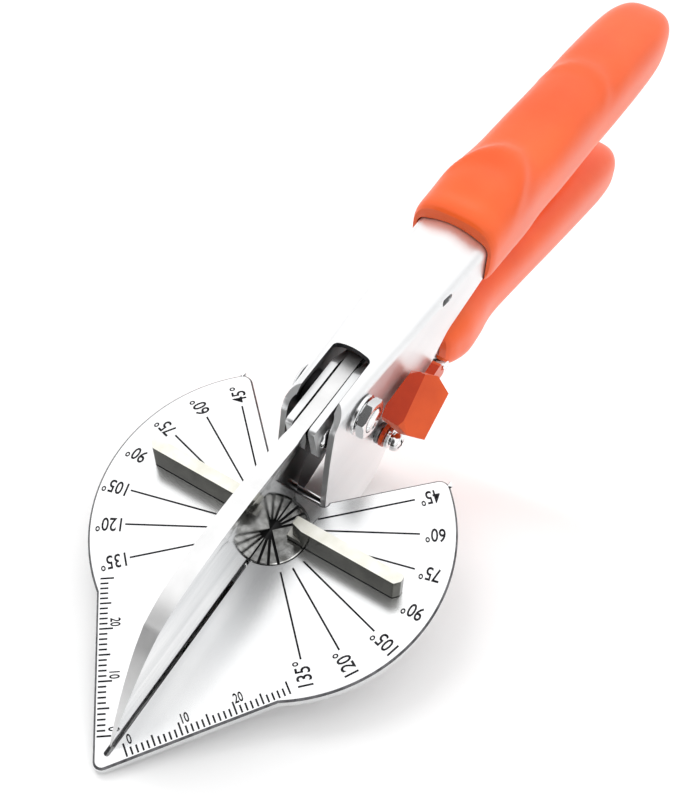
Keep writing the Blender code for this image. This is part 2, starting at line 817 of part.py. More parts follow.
def latch():
    """A flat arm beside the cheek, a tooth at its rear end and a thumb pad with a ridge."""
    outer = LATCH_INNER + LATCH_THICK
    piece = slab("latch", rounded(LATCH_SIDE), LATCH_INNER, outer, "orange_latch", upright=True)
    boolean(piece, thumb_pad(), "UNION")
    recess = cylinder("latch_recess", LATCH_PIVOT, "Y", 2.9, LATCH_INNER + BOSS_THICK, 20, None)
    boolean(piece, recess)
    return drill(piece, LATCH_PIVOT, "Y", LATCH_SCREW_RADIUS + GAP, 0, 20)


def latch_fasteners():
    half = between(BODY_STATIONS, LATCH_PIVOT[0])[0]
    radius = LATCH_SCREW_RADIUS
    bore = radius + 0.25
    head = 10.4
    end = -half - 3.0
    profile = [(0.0, head + 1.5), (1.4, head + 1.4), (2.1, head + 0.8), (2.2, head)]
    profile += [(radius, head), (radius, end), (0.0, end)]
    screw = turned("latch_screw", LATCH_PIVOT, "Y", profile, "chrome")
    for turn in (0, 90):
        cross = box(f"latch_cross_{turn}", (-1.3, head + 0.8, -0.24), (1.3, head + 3.0, 0.24))
        cross.rotation_euler = (0, math.radians(turn), 0)
        cross.location = (LATCH_PIVOT[0] * MM, 0, LATCH_PIVOT[1] * MM)
        boolean(screw, cross)
    inner = half + GAP
    washer("latch_washer_inner", LATCH_PIVOT, "Y", bore, 2.3, inner, inner + 0.75, "spring_steel")
    outer = LATCH_INNER + BOSS_THICK + GAP
    washer("latch_washer_outer", LATCH_PIVOT, "Y", bore, 2.2, outer, outer + 0.8)
    nut("latch_nut", LATCH_PIVOT, "Y", bore, 3.0, -half - GAP - 2.0, -half - GAP)


# ---- spring


def return_spring():
    """An open coil that pushes the handles apart, seated on the body's web and the lever's web."""
    curve = bpy.data.curves.new("return_spring", "CURVE")
    curve.dimensions = "3D"
    curve.bevel_depth = SPRING_WIRE * MM
    curve.bevel_resolution = 0
    curve.use_fill_caps = True
    spline = curve.splines.new("POLY")
    steps = SPRING_TURNS * 10
    spline.points.add(steps)
    for i, point in enumerate(spline.points):
        angle = 2 * math.pi * SPRING_TURNS * i / steps
        height = SPRING_BOTTOM + (SPRING_TOP - SPRING_BOTTOM) * i / steps
        x = SPRING_X + SPRING_RADIUS * math.cos(angle)
        point.co = (x * MM, SPRING_RADIUS * math.sin(angle) * MM, height * MM, 1.0)
    coil = bpy.data.objects.new("return_spring_path", curve)
    bpy.context.scene.collection.objects.link(coil)
    return from_curve("return_spring", coil, "spring_steel")


# ---- joints


def axis_empty(name, place, members):
    """An empty on a joint's axis that carries the pieces of one moving body."""
    empty = bpy.data.objects.new(name, None)
    empty.location = [value * MM for value in place]
    PARTS.objects.link(empty)
    bpy.context.view_layer.update()
    for member in members:
        piece = bpy.data.objects[member]
        piece.parent = empty
        piece.matrix_parent_inverse = empty.matrix_world.inverted()


def main():
    body_channel()
    upper_grip()
    base_plate()
    lower_jaw()
    for i, place in enumerate(JAW_SCREWS):
        jaw_screw(f"jaw_screw_{i + 1}", place)
    pivot_fasteners()
    for name, place in JAW_RIVETS.items():
        jaw_rivet(name, place)
    lever_channel()
    lower_grip()
    blade()
    blade_bolts()
    catch_pin()
    fence_disc()
    fence_bar("fence_bar_left", -1)
    fence_bar("fence_bar_right", 1)
    fence_pin("fence_pin_left", -1)
    fence_pin("fence_pin_right", 1)
    fence_fasteners()
    latch()
    latch_fasteners()
    return_spring()
    lever = ["lever_channel", "lower_grip", "blade", "blade_bolt_front", "blade_bolt_rear"]
    lever += ["blade_nut_front", "blade_nut_rear", "catch_pin"]
    axis_empty("lever_pivot", (PIVOT[0], 0, PIVOT[1]), lever)
    fence = ["fence_disc", "fence_bar_left", "fence_bar_right", "fence_pin_left", "fence_pin_right"]
    axis_empty("fence_turn", (0, 0, 0), fence + ["fence_spring_washer", "fence_hub_nut"])
    axis_empty("latch_pivot", (LATCH_PIVOT[0], 0, LATCH_PIVOT[1]), ["latch"])


main()
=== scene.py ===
import json
import math

import bmesh
import bpy
from mathutils import Matrix, Vector
from mathutils.geometry import tessellate_polygon


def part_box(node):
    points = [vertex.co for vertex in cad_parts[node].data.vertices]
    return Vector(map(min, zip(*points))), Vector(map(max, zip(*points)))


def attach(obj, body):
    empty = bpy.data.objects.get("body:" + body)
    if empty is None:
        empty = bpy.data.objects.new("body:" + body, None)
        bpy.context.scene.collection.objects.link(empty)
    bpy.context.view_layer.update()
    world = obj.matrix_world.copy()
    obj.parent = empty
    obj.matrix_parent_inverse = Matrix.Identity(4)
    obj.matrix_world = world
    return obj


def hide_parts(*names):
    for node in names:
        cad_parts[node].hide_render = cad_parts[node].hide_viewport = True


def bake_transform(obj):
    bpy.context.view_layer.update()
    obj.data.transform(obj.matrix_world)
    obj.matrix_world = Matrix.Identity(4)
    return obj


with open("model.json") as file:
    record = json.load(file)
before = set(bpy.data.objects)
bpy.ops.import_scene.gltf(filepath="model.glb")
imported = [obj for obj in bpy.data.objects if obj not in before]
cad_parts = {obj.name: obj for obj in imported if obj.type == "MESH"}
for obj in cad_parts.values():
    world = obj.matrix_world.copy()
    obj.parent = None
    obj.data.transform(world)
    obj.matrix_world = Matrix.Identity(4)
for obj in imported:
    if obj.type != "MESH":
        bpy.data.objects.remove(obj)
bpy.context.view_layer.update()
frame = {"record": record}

# Lengths are in millimetres and angles in degrees, in the frame's own axes: +X towards the plate's tip,
# +Z up out of the plate's working face, the origin at the centre of the fence disc.
MM = 0.001


def node_box(node):
    low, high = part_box(node)
    return low / MM, high / MM


def joint(name):
    return next(j for j in frame["record"]["behaviour"]["joints"] if j["name"] == name)


def side_place(name):
    """Where a hinge along Y stands, as (x, z)."""
    x, _, z = joint(name)["pos_m"]
    return x / MM, z / MM


PIVOT = side_place("lever_pivot")
LATCH_PIVOT = side_place("latch_pivot")
PLATE_LOW, PLATE_HIGH = node_box("base_plate")
BODY_LOW = node_box("body_channel")[0]

SHEET = 1.2
LEVER_SHEET = 1.4
GAP = 0.3


# ---- meshes


def link(name, mesh):
    piece = bpy.data.objects.new(name, mesh)
    bpy.context.scene.collection.objects.link(piece)
    return piece


def from_bmesh(name, shape):
    """A new object from a bmesh in millimetres."""
    bmesh.ops.recalc_face_normals(shape, faces=shape.faces)
    bmesh.ops.scale(shape, vec=(MM, MM, MM), verts=shape.verts)
    mesh = bpy.data.meshes.new(name)
    shape.to_mesh(mesh)
    shape.free()
    return link(name, mesh)


def applied(piece):
    """Writes the piece's modifiers into its mesh."""
    graph = bpy.context.evaluated_depsgraph_get()
    graph.update()
    mesh = bpy.data.meshes.new_from_object(piece.evaluated_get(graph))
    piece.modifiers.clear()
    piece.data = mesh
    return piece


def modify(piece, kind, **settings):
    modifier = piece.modifiers.new(kind.lower(), kind)
    for key, value in settings.items():
        setattr(modifier, key, value)


def cut(piece, *cutters, operation="DIFFERENCE"):
    """Cuts the piece with each cutter, then removes the cutters."""
    for cutter in cutters:
        modify(piece, "BOOLEAN", operation=operation, object=cutter, solver="EXACT")
    applied(piece)
    for cutter in cutters:
        bpy.data.objects.remove(cutter, do_unlink=True)
    return piece


def weld(piece):
    """Merges the points that a Boolean leaves on top of each other."""
    distance = 0.002 * MM
    shape = bmesh.new()
    shape.from_mesh(piece.data)
    bmesh.ops.remove_doubles(shape, verts=shape.verts, dist=distance)
    bmesh.ops.dissolve_degenerate(shape, edges=shape.edges, dist=distance)
    shape.to_mesh(piece.data)
    shape.free()


def soften(piece, width, segments=2, angle=32):
    """Rounds the edges that are sharper than the angle."""
    weld(piece)
    modify(
        piece,
        "BEVEL",
        width=width * MM,
        segments=segments,
        limit_method="ANGLE",
        angle_limit=math.radians(angle),
        use_clamp_overlap=True,
    )
    applied(piece)
    return shade(piece)


def shade(piece, angle=40):
    """Shades round faces smooth and flat ones flat."""
    piece.data.shade_smooth()
    piece.data.set_sharp_from_angle(angle=math.radians(angle))
    modify(piece, "WEIGHTED_NORMAL", keep_sharp=True, weight=80)
    return piece


def paint(piece, material, is_inside):
    """Gives a second material to the faces whose centre, in millimetres, and normal pass the test."""
    piece.data.materials.append(MATERIALS[material])
    for polygon in piece.data.polygons:
        if is_inside(polygon.center / MM, polygon.normal):
            polygon.material_index = 1


def joined(name, pieces):
    shape = bmesh.new()
    for piece in pieces:
        shape.from_mesh(piece.data)
        bpy.data.objects.remove(piece, do_unlink=True)
    mesh = bpy.data.meshes.new(name)
    shape.to_mesh(mesh)
    shape.free()
    return link(name, mesh)


# ---- outlines


def arc(centre, radius, start, end, count):
    angles = [math.radians(start + (end - start) * i / count) for i in range(count + 1)]
    return [(centre[0] + radius * math.cos(a), centre[1] + radius * math.sin(a)) for a in angles]


def rounded(corners, count=8):
    """A closed outline whose corners (x, y, radius) are rounded by arcs."""
    outline = []
    for i, (x, y, radius) in enumerate(corners):
        here = Vector((x, y))
        if radius == 0:
            outline.append((x, y))
            continue
        before = (Vector(corners[i - 1][:2]) - here).normalized()
        after = (Vector(corners[(i + 1) % len(corners)][:2]) - here).normalized()
        half = before.angle(after) / 2
        reach = radius / math.tan(half)
        centre = here + (before + after).normalized() * radius / math.sin(half)
        first = here + before * reach
        turn = (first - centre).angle_signed(here + after * reach - centre)
        for step in range(count + 1):
            spoke = (first - centre).copy()
            spoke.rotate(Matrix.Rotation(-turn * step / count, 2))
            outline.append(tuple(centre + spoke))
    return outline


def spline(points, per_span):
    """A Catmull-Rom curve through points of any dimension."""
    ends = [points[0], *points, points[-1]]
    curve = []
    for a, b, c, d in zip(ends, ends[1:], ends[2:], ends[3:]):
        for step in range(per_span):
            t = step / per_span
            curve.append(
                tuple(
                    0.5
                    * (
                        2 * q
                        + (r - p) * t
                        + (2 * p - 5 * q + 4 * r - s) * t * t
                        + (3 * q - p - 3 * r + s) * t**3
                    )
                    for p, q, r, s in zip(a, b, c, d)
                )
            )
    curve.append(tuple(points[-1]))
    return curve


def between(stations, x):
    """The values of a table of stations at x, by straight interpolation."""
    rows = sorted(stations)
    if x <= rows[0][0]:
        return rows[0][1:]
    for low, high in zip(rows, rows[1:]):
        if x <= high[0]:
            share = (x - low[0]) / (high[0] - low[0])
            return tuple(a + (b - a) * share for a, b in zip(low[1:], high[1:]))
    return rows[-1][1:]


def ease(value, low, high):
    """0 below low, 1 above high and smooth in between."""
    t = min(max((value - low) / (high - low), 0.0), 1.0)
    return t * t * (3 - 2 * t)


def bump(value, centre, width):
    return math.exp(-(((value - centre) / width) ** 2))


# ---- solids


def slab(name, outline, low, high, upright=False):
    """An outline extruded from low to high: along Z for a plan outline, along Y for a side outline."""
    curve = bpy.data.curves.new(name, "CURVE")
    curve.dimensions = "2D"
    curve.fill_mode = "BOTH"
    curve.extrude = (high - low) / 2 * MM
    line = curve.splines.new("POLY")
    line.points.add(len(outline) - 1)
    for point, (x, y) in zip(line.points, outline):
        point.co = (x * MM, y * MM, 0.0, 1.0)
    line.use_cyclic_u = True
    flat = link(name + "_curve", curve)
    mesh = bpy.data.meshes.new_from_object(flat.evaluated_get(bpy.context.evaluated_depsgraph_get()))
    bpy.data.objects.remove(flat, do_unlink=True)
    middle = (low + high) / 2 * MM
    if upright:
        mesh.transform(Matrix.Translation((0, middle, 0)) @ Matrix.Rotation(math.radians(90), 4, "X"))
    else:
        mesh.transform(Matrix.Translation((0, 0, middle)))
    shape = bmesh.new()
    shape.from_mesh(mesh)
    bmesh.ops.remove_doubles(shape, verts=shape.verts, dist=1e-6)
    bmesh.ops.recalc_face_normals(shape, faces=shape.faces)
    shape.to_mesh(mesh)
    shape.free()
    return link(name, mesh)


def toward(axis):
    """Turns +Z to the axis: the cylinders and turned pieces are made along +Z."""
    return Matrix.Rotation(math.radians(-90), 4, "X") if axis == "Y" else Matrix.Identity(4)


def put_on(piece, centre, axis):
    """Puts a piece made along +Z on its axis: Y through (x, z), or Z through (x, y)."""
    place = (centre[0], 0, centre[1]) if axis == "Y" else (centre[0], centre[1], 0)
    piece.data.transform(Matrix.Translation(Vector(place) * MM) @ toward(axis))
    return piece


def cylinder(name, centre, axis, radius, low, high, sides=64):
    shape = bmesh.new()
    bmesh.ops.create_cone(
        shape, cap_ends=True, segments=sides, radius1=radius, radius2=radius, depth=high - low
    )
    bmesh.ops.translate(shape, vec=(0, 0, (low + high) / 2), verts=shape.verts)
    return put_on(from_bmesh(name, shape), centre, axis)


def block(name, low, high):
    shape = bmesh.new()
    bmesh.ops.create_cube(shape, size=1)
    size = Vector(high) - Vector(low)
    bmesh.ops.scale(shape, vec=size, verts=shape.verts)
    bmesh.ops.translate(shape, vec=Vector(low) + size / 2, verts=shape.verts)
    return from_bmesh(name, shape)


def turned(name, centre, axis, profile, sides=64):
    """A turned solid from (radius, height) points. A profile that starts off the axis is a ring."""
    shape = bmesh.new()
    rings = []
    for radius, height in profile:
        if radius < 1e-6:
            rings.append([shape.verts.new((0, 0, height))])
            continue
        ring = arc((0, 0), radius, 0, 360, sides)[:-1]
        rings.append([shape.verts.new((x, y, height)) for x, y in ring])
    if profile[0][0] > 1e-6:
        rings.append(rings[0])
    for first, second in zip(rings, rings[1:]):
        for i in range(sides):
            j = (i + 1) % sides
            corners = [first[i % len(first)], first[j % len(first)]]
            corners += [second[j % len(second)], second[i % len(second)]]
            corners = list(dict.fromkeys(corners))
            if len(corners) > 2:
                shape.faces.new(corners)
    return put_on(from_bmesh(name, shape), centre, axis)


def loft(name, rings):
    """A closed solid through rings of points that all have the same count."""
    shape = bmesh.new()
    loops = [[shape.verts.new(point) for point in ring] for ring in rings]
    for first, second in zip(loops, loops[1:]):
        for i in range(len(first)):
            j = (i + 1) % len(first)
            shape.faces.new((first[i], first[j], second[j], second[i]))
    for loop in (loops[0], loops[-1]):
        for corners in tessellate_polygon([[vertex.co for vertex in loop]]):
            shape.faces.new([loop[corner] for corner in corners])
    return from_bmesh(name, shape)


def pressed(name, sections, thickness):
    """A pressed sheet: an open surface through sections of points, thickened to its inner side."""
    shape = bmesh.new()
    rows = [[shape.verts.new(point) for point in section] for section in sections]
    for first, second in zip(rows, rows[1:]):
        for i in range(len(first) - 1):
            shape.faces.new((first[i], first[i + 1], second[i + 1], second[i]))
    bmesh.ops.scale(shape, vec=(MM, MM, MM), verts=shape.verts)
    mesh = bpy.data.meshes.new(name)
    shape.to_mesh(mesh)
    shape.free()
    piece = link(name, mesh)
    modify(piece, "SOLIDIFY", thickness=thickness * MM, offset=-1.0, use_even_offset=True)
    return applied(piece)


# ---- materials


def noise(tree, source, size, detail, stretch):
    """Noise of a size in millimetres, stretched along an axis if asked."""
    texture = tree.nodes.new("ShaderNodeTexNoise")
    texture.inputs["Scale"].default_value = 1 / (size * MM)
    texture.inputs["Detail"].default_value = detail
    if stretch:
        mapping = tree.nodes.new("ShaderNodeMapping")
        mapping.inputs["Scale"].default_value = stretch
        tree.links.new(source, mapping.inputs["Vector"])
        source = mapping.outputs["Vector"]
    tree.links.new(source, texture.inputs["Vector"])
    return texture.outputs["Fac"]


def map_range(tree, value, source, target, smooth=False):
    """Maps a value from the source range to the target range."""
    node = tree.nodes.new("ShaderNodeMapRange")
    node.interpolation_type = "SMOOTHSTEP" if smooth else "LINEAR"
    for label, number in zip(("From Min", "From Max", "To Min", "To Max"), (*source, *target)):
        node.inputs[label].default_value = number
    tree.links.new(value, node.inputs["Value"])
    return node.outputs["Result"]


def surface(name, low_colour, high_colour, roughness, metallic=0.0, **extra):
    """A material whose colour, roughness and height vary with noise.

    extra: patch and grain are the sizes in millimetres of the colour's and the bump's noise. The colour
    goes from low to high between the noise values from_ and to. depth is the bump's height in millimetres
    and strength its weight. stretch scales the noise's axes. coat, coat_roughness and specular are the
    shader's own values. fade is (start, end, share): the colour grows along X from that share to all of it,
    a painted reflection that darkens the colour towards -X.
    """
    material = bpy.data.materials.new(name)
    material.use_nodes = True
    tree = material.node_tree
    nodes = tree.nodes
    links = tree.links
    shader = nodes["Principled BSDF"]
    place = nodes.new("ShaderNodeTexCoord").outputs["Object"]
    stretch = extra.get("stretch")
    patches = noise(tree, place, extra["patch"], 5.0, stretch)
    ramp = nodes.new("ShaderNodeValToRGB")
    ramp.color_ramp.elements[0].position = extra.get("from_", 0.3)
    ramp.color_ramp.elements[0].color = (*low_colour, 1)
    ramp.color_ramp.elements[1].position = extra.get("to", 0.7)
    ramp.color_ramp.elements[1].color = (*high_colour, 1)
    links.new(patches, ramp.inputs["Fac"])
    links.new(ramp.outputs["Color"], shader.inputs["Base Color"])
    if "fade" in extra:
        start, end, share = extra["fade"]
        split = nodes.new("ShaderNodeSeparateXYZ")
        links.new(place, split.inputs["Vector"])
        along = map_range(tree, split.outputs["X"], (start * MM, end * MM), (share, 1.0), smooth=True)
        tint = nodes.new("ShaderNodeVectorMath")
        tint.operation = "SCALE"
        links.new(ramp.outputs["Color"], tint.inputs["Vector"])
        links.new(along, tint.inputs["Scale"])
        links.new(tint.outputs["Vector"], shader.inputs["Base Color"])
    gloss = map_range(tree, patches, (0.0, 1.0), roughness)
    links.new(gloss, shader.inputs["Roughness"])
    relief = nodes.new("ShaderNodeBump")
    relief.inputs["Strength"].default_value = extra.get("strength", 0.3)
    relief.inputs["Distance"].default_value = extra.get("depth", 0.01) * MM
    links.new(noise(tree, place, extra.get("grain", 0.5), 3.0, stretch), relief.inputs["Height"])
    links.new(relief.outputs["Normal"], shader.inputs["Normal"])
    shader.inputs["Metallic"].default_value = metallic
    shader.inputs["Coat Weight"].default_value = extra.get("coat", 0.0)
    shader.inputs["Coat Roughness"].default_value = extra.get("coat_roughness", 0.1)
    shader.inputs["Specular IOR Level"].default_value = extra.get("specular", 0.5)
    return material


MATERIALS = {
    "chrome": surface(
        "bright_chrome", (0.80, 0.81, 0.82), (0.93, 0.93, 0.93), (0.06, 0.16), 1.0, patch=14, depth=0.006
    ),
    "sheet_chrome": surface(
        "pressed_chrome",
        (0.82, 0.83, 0.84),
        (0.97, 0.97, 0.97),
        (0.30, 0.46),
        0.85,
        patch=16,
        stretch=(0.25, 1.0, 1.0),
        depth=0.012,
        grain=2.5,
    ),
    # painted shade: a near-black copy of the plated steel for faces inside the channels, where shade falls
    "inner_painted_shade": surface(
        "inside_painted_shade",
        (0.015, 0.015, 0.017),
        (0.06, 0.06, 0.065),
        (0.35, 0.55),
        0.7,
        patch=6,
        depth=0.02,
    ),
    "plate": surface(
        "polished_plate",
        (0.86, 0.87, 0.88),
        (0.97, 0.97, 0.97),
        (0.16, 0.30),
        1.0,
        patch=22,
        depth=0.004,
        grain=0.8,
    ),
    # painted shade: a dark copy of the plate's steel for its chamfered rim and the slot's walls
    "plate_edge_painted_shade": surface(
        "plate_rim_painted_shade", (0.06, 0.06, 0.065), (0.20, 0.20, 0.21), (0.35, 0.55), 0.9, patch=1.5, depth=0.02
    ),
    "disc": surface(
        "turned_disc",
        (0.42, 0.42, 0.40),
        (0.90, 0.90, 0.88),
        (0.08, 0.2),
        1.0,
        patch=1.6,
        from_=0.35,
        to=0.6,
    ),
    "groove": surface(
        "groove_shadow", (0.010, 0.010, 0.012), (0.03, 0.03, 0.03), (0.4, 0.6), 0.0, patch=2, specular=0.1
    ),
    "blade": surface(
        "ground_blade_painted_reflection",
        (0.46, 0.47, 0.48),
        (0.80, 0.80, 0.80),
        (0.06, 0.16),
        1.0,
        patch=7,
        stretch=(0.12, 1.0, 1.0),
        depth=0.008,
        grain=0.6,
        # painted reflection: the fade darkens the blade's face towards its rear, standing in for the body
        # mirrored in it
        fade=(2, 22, 0.22),
    ),
    "blade_back": surface(
        "brushed_back", (0.80, 0.80, 0.80), (0.92, 0.92, 0.92), (0.40, 0.52), 1.0, patch=5, depth=0.01
    ),
    # painted light and shade: one steel for the fence bars, a bright copy for their top faces and a dark
    # copy for their sides
    "fence_top_painted_light": surface(
        "fence_top_painted_light", (0.80, 0.79, 0.70), (0.95, 0.94, 0.88), (0.3, 0.42), 0.9, patch=3, depth=0.01
    ),
    "fence": surface(
        "fence_side_painted_shade", (0.026, 0.026, 0.019), (0.070, 0.070, 0.055), (0.10, 0.20), 1.0, patch=4, depth=0.02
    ),
    "dark_steel": surface("dark_steel", (0.10, 0.10, 0.11), (0.3, 0.3, 0.3), (0.2, 0.4), 1.0, patch=3),
    "ink": surface(
        "black_ink", (0.006, 0.006, 0.008), (0.03, 0.03, 0.035), (0.55, 0.75), 0.0, patch=2, specular=0.08
    ),
    "grip": surface(
        "orange_pvc",
        (0.80, 0.092, 0.014),
        (0.92, 0.130, 0.024),
        (0.32, 0.44),
        0.0,
        patch=26,
        grain=1.6,
        depth=0.05,
        strength=0.22,
        coat=0.16,
        coat_roughness=0.18,
        specular=0.25,
    ),
    "latch": surface(
        "orange_latch",
        (0.62, 0.062, 0.005),
        (0.76, 0.092, 0.009),
        (0.26, 0.38),
        0.0,
        patch=9,
        grain=0.9,
        depth=0.02,
        coat=0.2,
        coat_roughness=0.14,
        specular=0.3,
    ),
    # painted shade: a darker copy of the latch's orange for its face in the body's shade
    "latch_shade": surface(
        "orange_latch_painted_shade",
        (0.44, 0.028, 0.002),
        (0.60, 0.044, 0.004),
        (0.24, 0.36),
        0.0,
        patch=7,
        grain=0.9,
        depth=0.02,
        coat=0.1,
        coat_roughness=0.14,
        specular=0.2,
    ),
}


def finish_piece(piece, body, slot, material, *nodes):
    """Gives the piece its material and body and hides the CAD nodes that it stands for. The slot is not
    used.
    """
    piece.data.materials.clear()
    piece.data.materials.append(MATERIALS[material])
    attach(piece, body)
    if nodes:
        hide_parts(*nodes)
    return piece


def chrome(piece, body, node):
    """Finishes a small plated piece."""
    finish_piece(piece, body, "chrome", "chrome", node)


# ---- body


BODY_STATIONS = [
    # x, outer half width, crown height
    (-156.0, 6.4, 3.2),
    (-110.0, 7.4, 12.2),
    (-77.0, 8.0, 19.2),
    (-66.0, 7.9, 20.8),
    (-45.0, 7.2, 23.2),
    (-29.0, 6.4, 24.8),
    (-21.5, 6.1, 25.4),
    (-12.0, 5.7, 26.0),
    (0.0, 5.4, 27.0),
    (38.0, 3.6, 29.0),
]
BODY_SIDE = [
    (-156.0, 60.0, 0),
    (-19.0, 60.0, 0),
    (-18.0, 24.4, 0),
    (-13.6, 21.0, 4.0),
    (-12.0, 12.0, 0),
    (-10.6, 0.0, 0),
    (-10.4, -4.1, 0),
    (42.0, -4.1, 0),
    (41.0, -5.4, 0),
    (0.0, -14.0, 12.0),
    (-19.0, -17.8, 4.0),
    (-28.0, -17.0, 4.0),
    (-33.0, -10.6, 3.0),
    (-46.5, 0.0, 8.0),
    (-54.0, 6.4, 6.0),
    (-68.0, 9.0, 0),
    (-156.0, -7.4, 0),
]
MOUTH = [(-29.0, -4.0, 0.8), (60.0, -4.0, 0), (60.0, 4.0, 0), (-29.0, 4.0, 0.8)]
CHEEK_SLOT = [(-54.0, 17.2, 0.75), (-50.4, 18.0, 0.75), (-50.4, 19.6, 0.75), (-54.0, 18.8, 0.75)]
SHOULDER = 3.0
CROWN_RISE = 1.3
ALL_ACROSS = 12.0
PIVOT_HOLE = 2.7
LATCH_HOLE = 1.5
JAW_RIVETS = [(26.0, -7.0), (-15.0, -12.0)]


def upright_u(x, half, crown, floor):
    """Section of the body: cheeks up from the floor, round shoulders and a slightly crowned web."""
    side = [(half, floor + (crown - floor) * i / 6) for i in range(4)]
    side += arc((half - SHOULDER, crown - CROWN_RISE - SHOULDER), SHOULDER, 0, 78, 10)
    end = side[-1]
    side += [(end[0] * (1 - t), end[1] + (crown - end[1]) * (1 - (1 - t) ** 2)) for t in (0.3, 0.65)]
    right = [(x, y, z) for y, z in side]
    left = [(x, -y, z) for x, y, z in reversed(right)]
    return right + [(x, 0.0, crown)] + left


def hole_across(place, radius, sides=32):
    """The cutter of a round hole along Y through both cheeks, at (x, z)."""
    return cylinder("hole", place, "Y", radius, -ALL_ACROSS, ALL_ACROSS, sides)


def body_pieces():
    stations = spline(BODY_STATIONS, 4)
    sections = [upright_u(x, half, crown, -30.0) for x, half, crown in stations]
    piece = pressed("body_shell", sections, SHEET)
    side = slab("side", rounded(BODY_SIDE), -ALL_ACROSS, ALL_ACROSS, upright=True)
    cut(piece, side, operation="INTERSECT")
    cut(
        piece,
        slab("mouth", rounded(MOUTH), 15.0, 40.0),
        slab("slot", rounded(CHEEK_SLOT, 6), -ALL_ACROSS, ALL_ACROSS, upright=True),
        hole_across(PIVOT, PIVOT_HOLE, 64),
        hole_across(LATCH_PIVOT, LATCH_HOLE),
        *[hole_across(place, 1.35) for place in JAW_RIVETS],
    )
    soften(piece, 0.18)
    finish_piece(piece, "body", "chrome", "sheet_chrome", "body_channel")

    # Painted shade: the faces inside the body channel and the front face of the mouth's lip get the
    # near-black inner material, which stands in for the shade there.
    def faces_inward(centre, normal):
        core = Vector((centre.x, 0.0, between(BODY_STATIONS, centre.x)[1] - 7.0))
        if abs(normal.x) > 0.8:
            return abs(centre.x - MOUTH[0][0]) < 1.0 and centre.z > core.z
        return normal.dot(centre - core) < 0

    paint(piece, "inner_painted_shade", faces_inward)


# ---- grips


UPPER_GRIP = [
    # x, centre height, half width, half height
    (-67.5, 14.5, 9.0, 8.6),
    (-68.4, 14.5, 9.4, 9.3),
    (-70.5, 14.3, 9.6, 9.7),
    (-78.0, 13.2, 9.6, 10.4),
    (-86.0, 11.4, 9.5, 10.6),
    (-94.0, 9.8, 9.2, 9.9),
    (-106.0, 7.2, 9.2, 9.9),
    (-122.0, 4.2, 9.1, 9.6),
    (-134.0, 1.9, 9.2, 9.5),
    (-148.0, -0.8, 9.2, 9.0),
    (-158.0, -2.7, 8.9, 8.6),
    (-164.0, -3.8, 8.2, 8.0),
    (-168.6, -4.6, 6.9, 6.8),
    (-171.2, -5.0, 5.0, 5.0),
    (-172.2, -5.1, 2.8, 2.8),
]
LOWER_GRIP = [
    (-54.5, -2.0, 7.6, 6.4),
    (-55.4, -2.4, 8.5, 7.2),
    (-57.5, -3.1, 9.3, 8.0),
    (-62.0, -4.6, 9.9, 9.0),
    (-68.0, -6.6, 9.4, 8.7),
    (-76.0, -8.8, 8.5, 7.8),
    (-90.0, -13.6, 8.5, 7.8),
    (-110.0, -20.4, 8.8, 8.2),
    (-130.0, -27.5, 8.9, 8.4),
    (-140.0, -31.1, 8.8, 8.2),
    (-147.0, -33.6, 8.1, 7.4),
    (-151.6, -35.2, 6.2, 5.8),
    (-153.6, -35.9, 4.0, 3.8),
    (-154.2, -36.1, 2.0, 1.8),
]
GRIP_SIDES = 96
GRIP_SQUARENESS = 3.0


def grip_ring(x, centre, half_width, half_height, shape_top):
    ring = []
    for i in range(GRIP_SIDES):
        angle = 2 * math.pi * i / GRIP_SIDES
        c = math.cos(angle)
        s = math.sin(angle)
        y = math.copysign(abs(c) ** (2 / GRIP_SQUARENESS), c) * half_width
        z = math.copysign(abs(s) ** (2 / GRIP_SQUARENESS), s) * half_height
        ring.append((x, y, centre + z + shape_top(x, y, s)))
    return ring


def upper_relief(x, y, s):
    """The thumb rest's dish behind the lip, the tongue-shaped ridge round it and a second, lower ridge."""
    top = ease(s, 0.1, 0.7)
    ridge = -91.5 + 0.16 * y * y
    second = -131.5 + 0.10 * y * y
    height = 0.75 * bump(x, ridge, 2.2)
    height -= 0.9 * ease(x, ridge + 2, ridge + 7) * (1 - ease(x, -74, -70)) * bump(y, 0, 6.0)
    height -= 0.7 * ease(ridge - x, 1, 5) * (1 - ease(ridge - x, 12, 30)) * bump(y, 0, 8.0)
    height += 0.45 * bump(x, second, 1.8) - 0.35 * bump(x, second - 5, 4.0)
    return height * top


def no_relief(x, y, s):
    return 0.0


def grip(name, body, stations, relief, cavity, node):
    """A dipped sleeve with a round lip, hollow where the channel goes in."""
    piece = loft(name, [grip_ring(*station, relief) for station in spline(stations, 6)])
    cut(piece, loft("cavity", cavity))
    soften(piece, 0.5, 3, 50)
    finish_piece(piece, body, "orange_grip", "grip", node)


def upper_cavity():
    rings = []
    for x in (-60.0, -66.0, -77.0, -110.0, -156.0, -157.0):
        half, crown = between(BODY_STATIONS, x)
        rings.append(upright_u(x, half + GAP, crown + GAP, crown - 11.9))
    return rings


def lower_cavity():
    rings = []
    for x in (-52.0, -57.0, -62.0, -146.0, -148.0):
        half, underside = between(LEVER_STATIONS, x)
        rings.append(open_u(x, half + GAP, underside - GAP, underside + 10.2))
    return rings


# ---- protractor


TIP_X = 55.2
TIP_HALF_ANGLE = 36.0
PLATE_RADIUS = 35.0
PLATE_ARC_X = -1.0
REAR_EDGE_SUM = -4.5
NOTCH_X = -9.4
NOTCH_HALF = 6.4
PLATE_THICK = 2.0
PLATE_CHAMFER = 0.4
DISC_RADIUS = 7.4
SLOT_HALF = 0.55
SLOT_END_X = 51.5
EDGE_SLOPE = math.tan(math.radians(TIP_HALF_ANGLE))


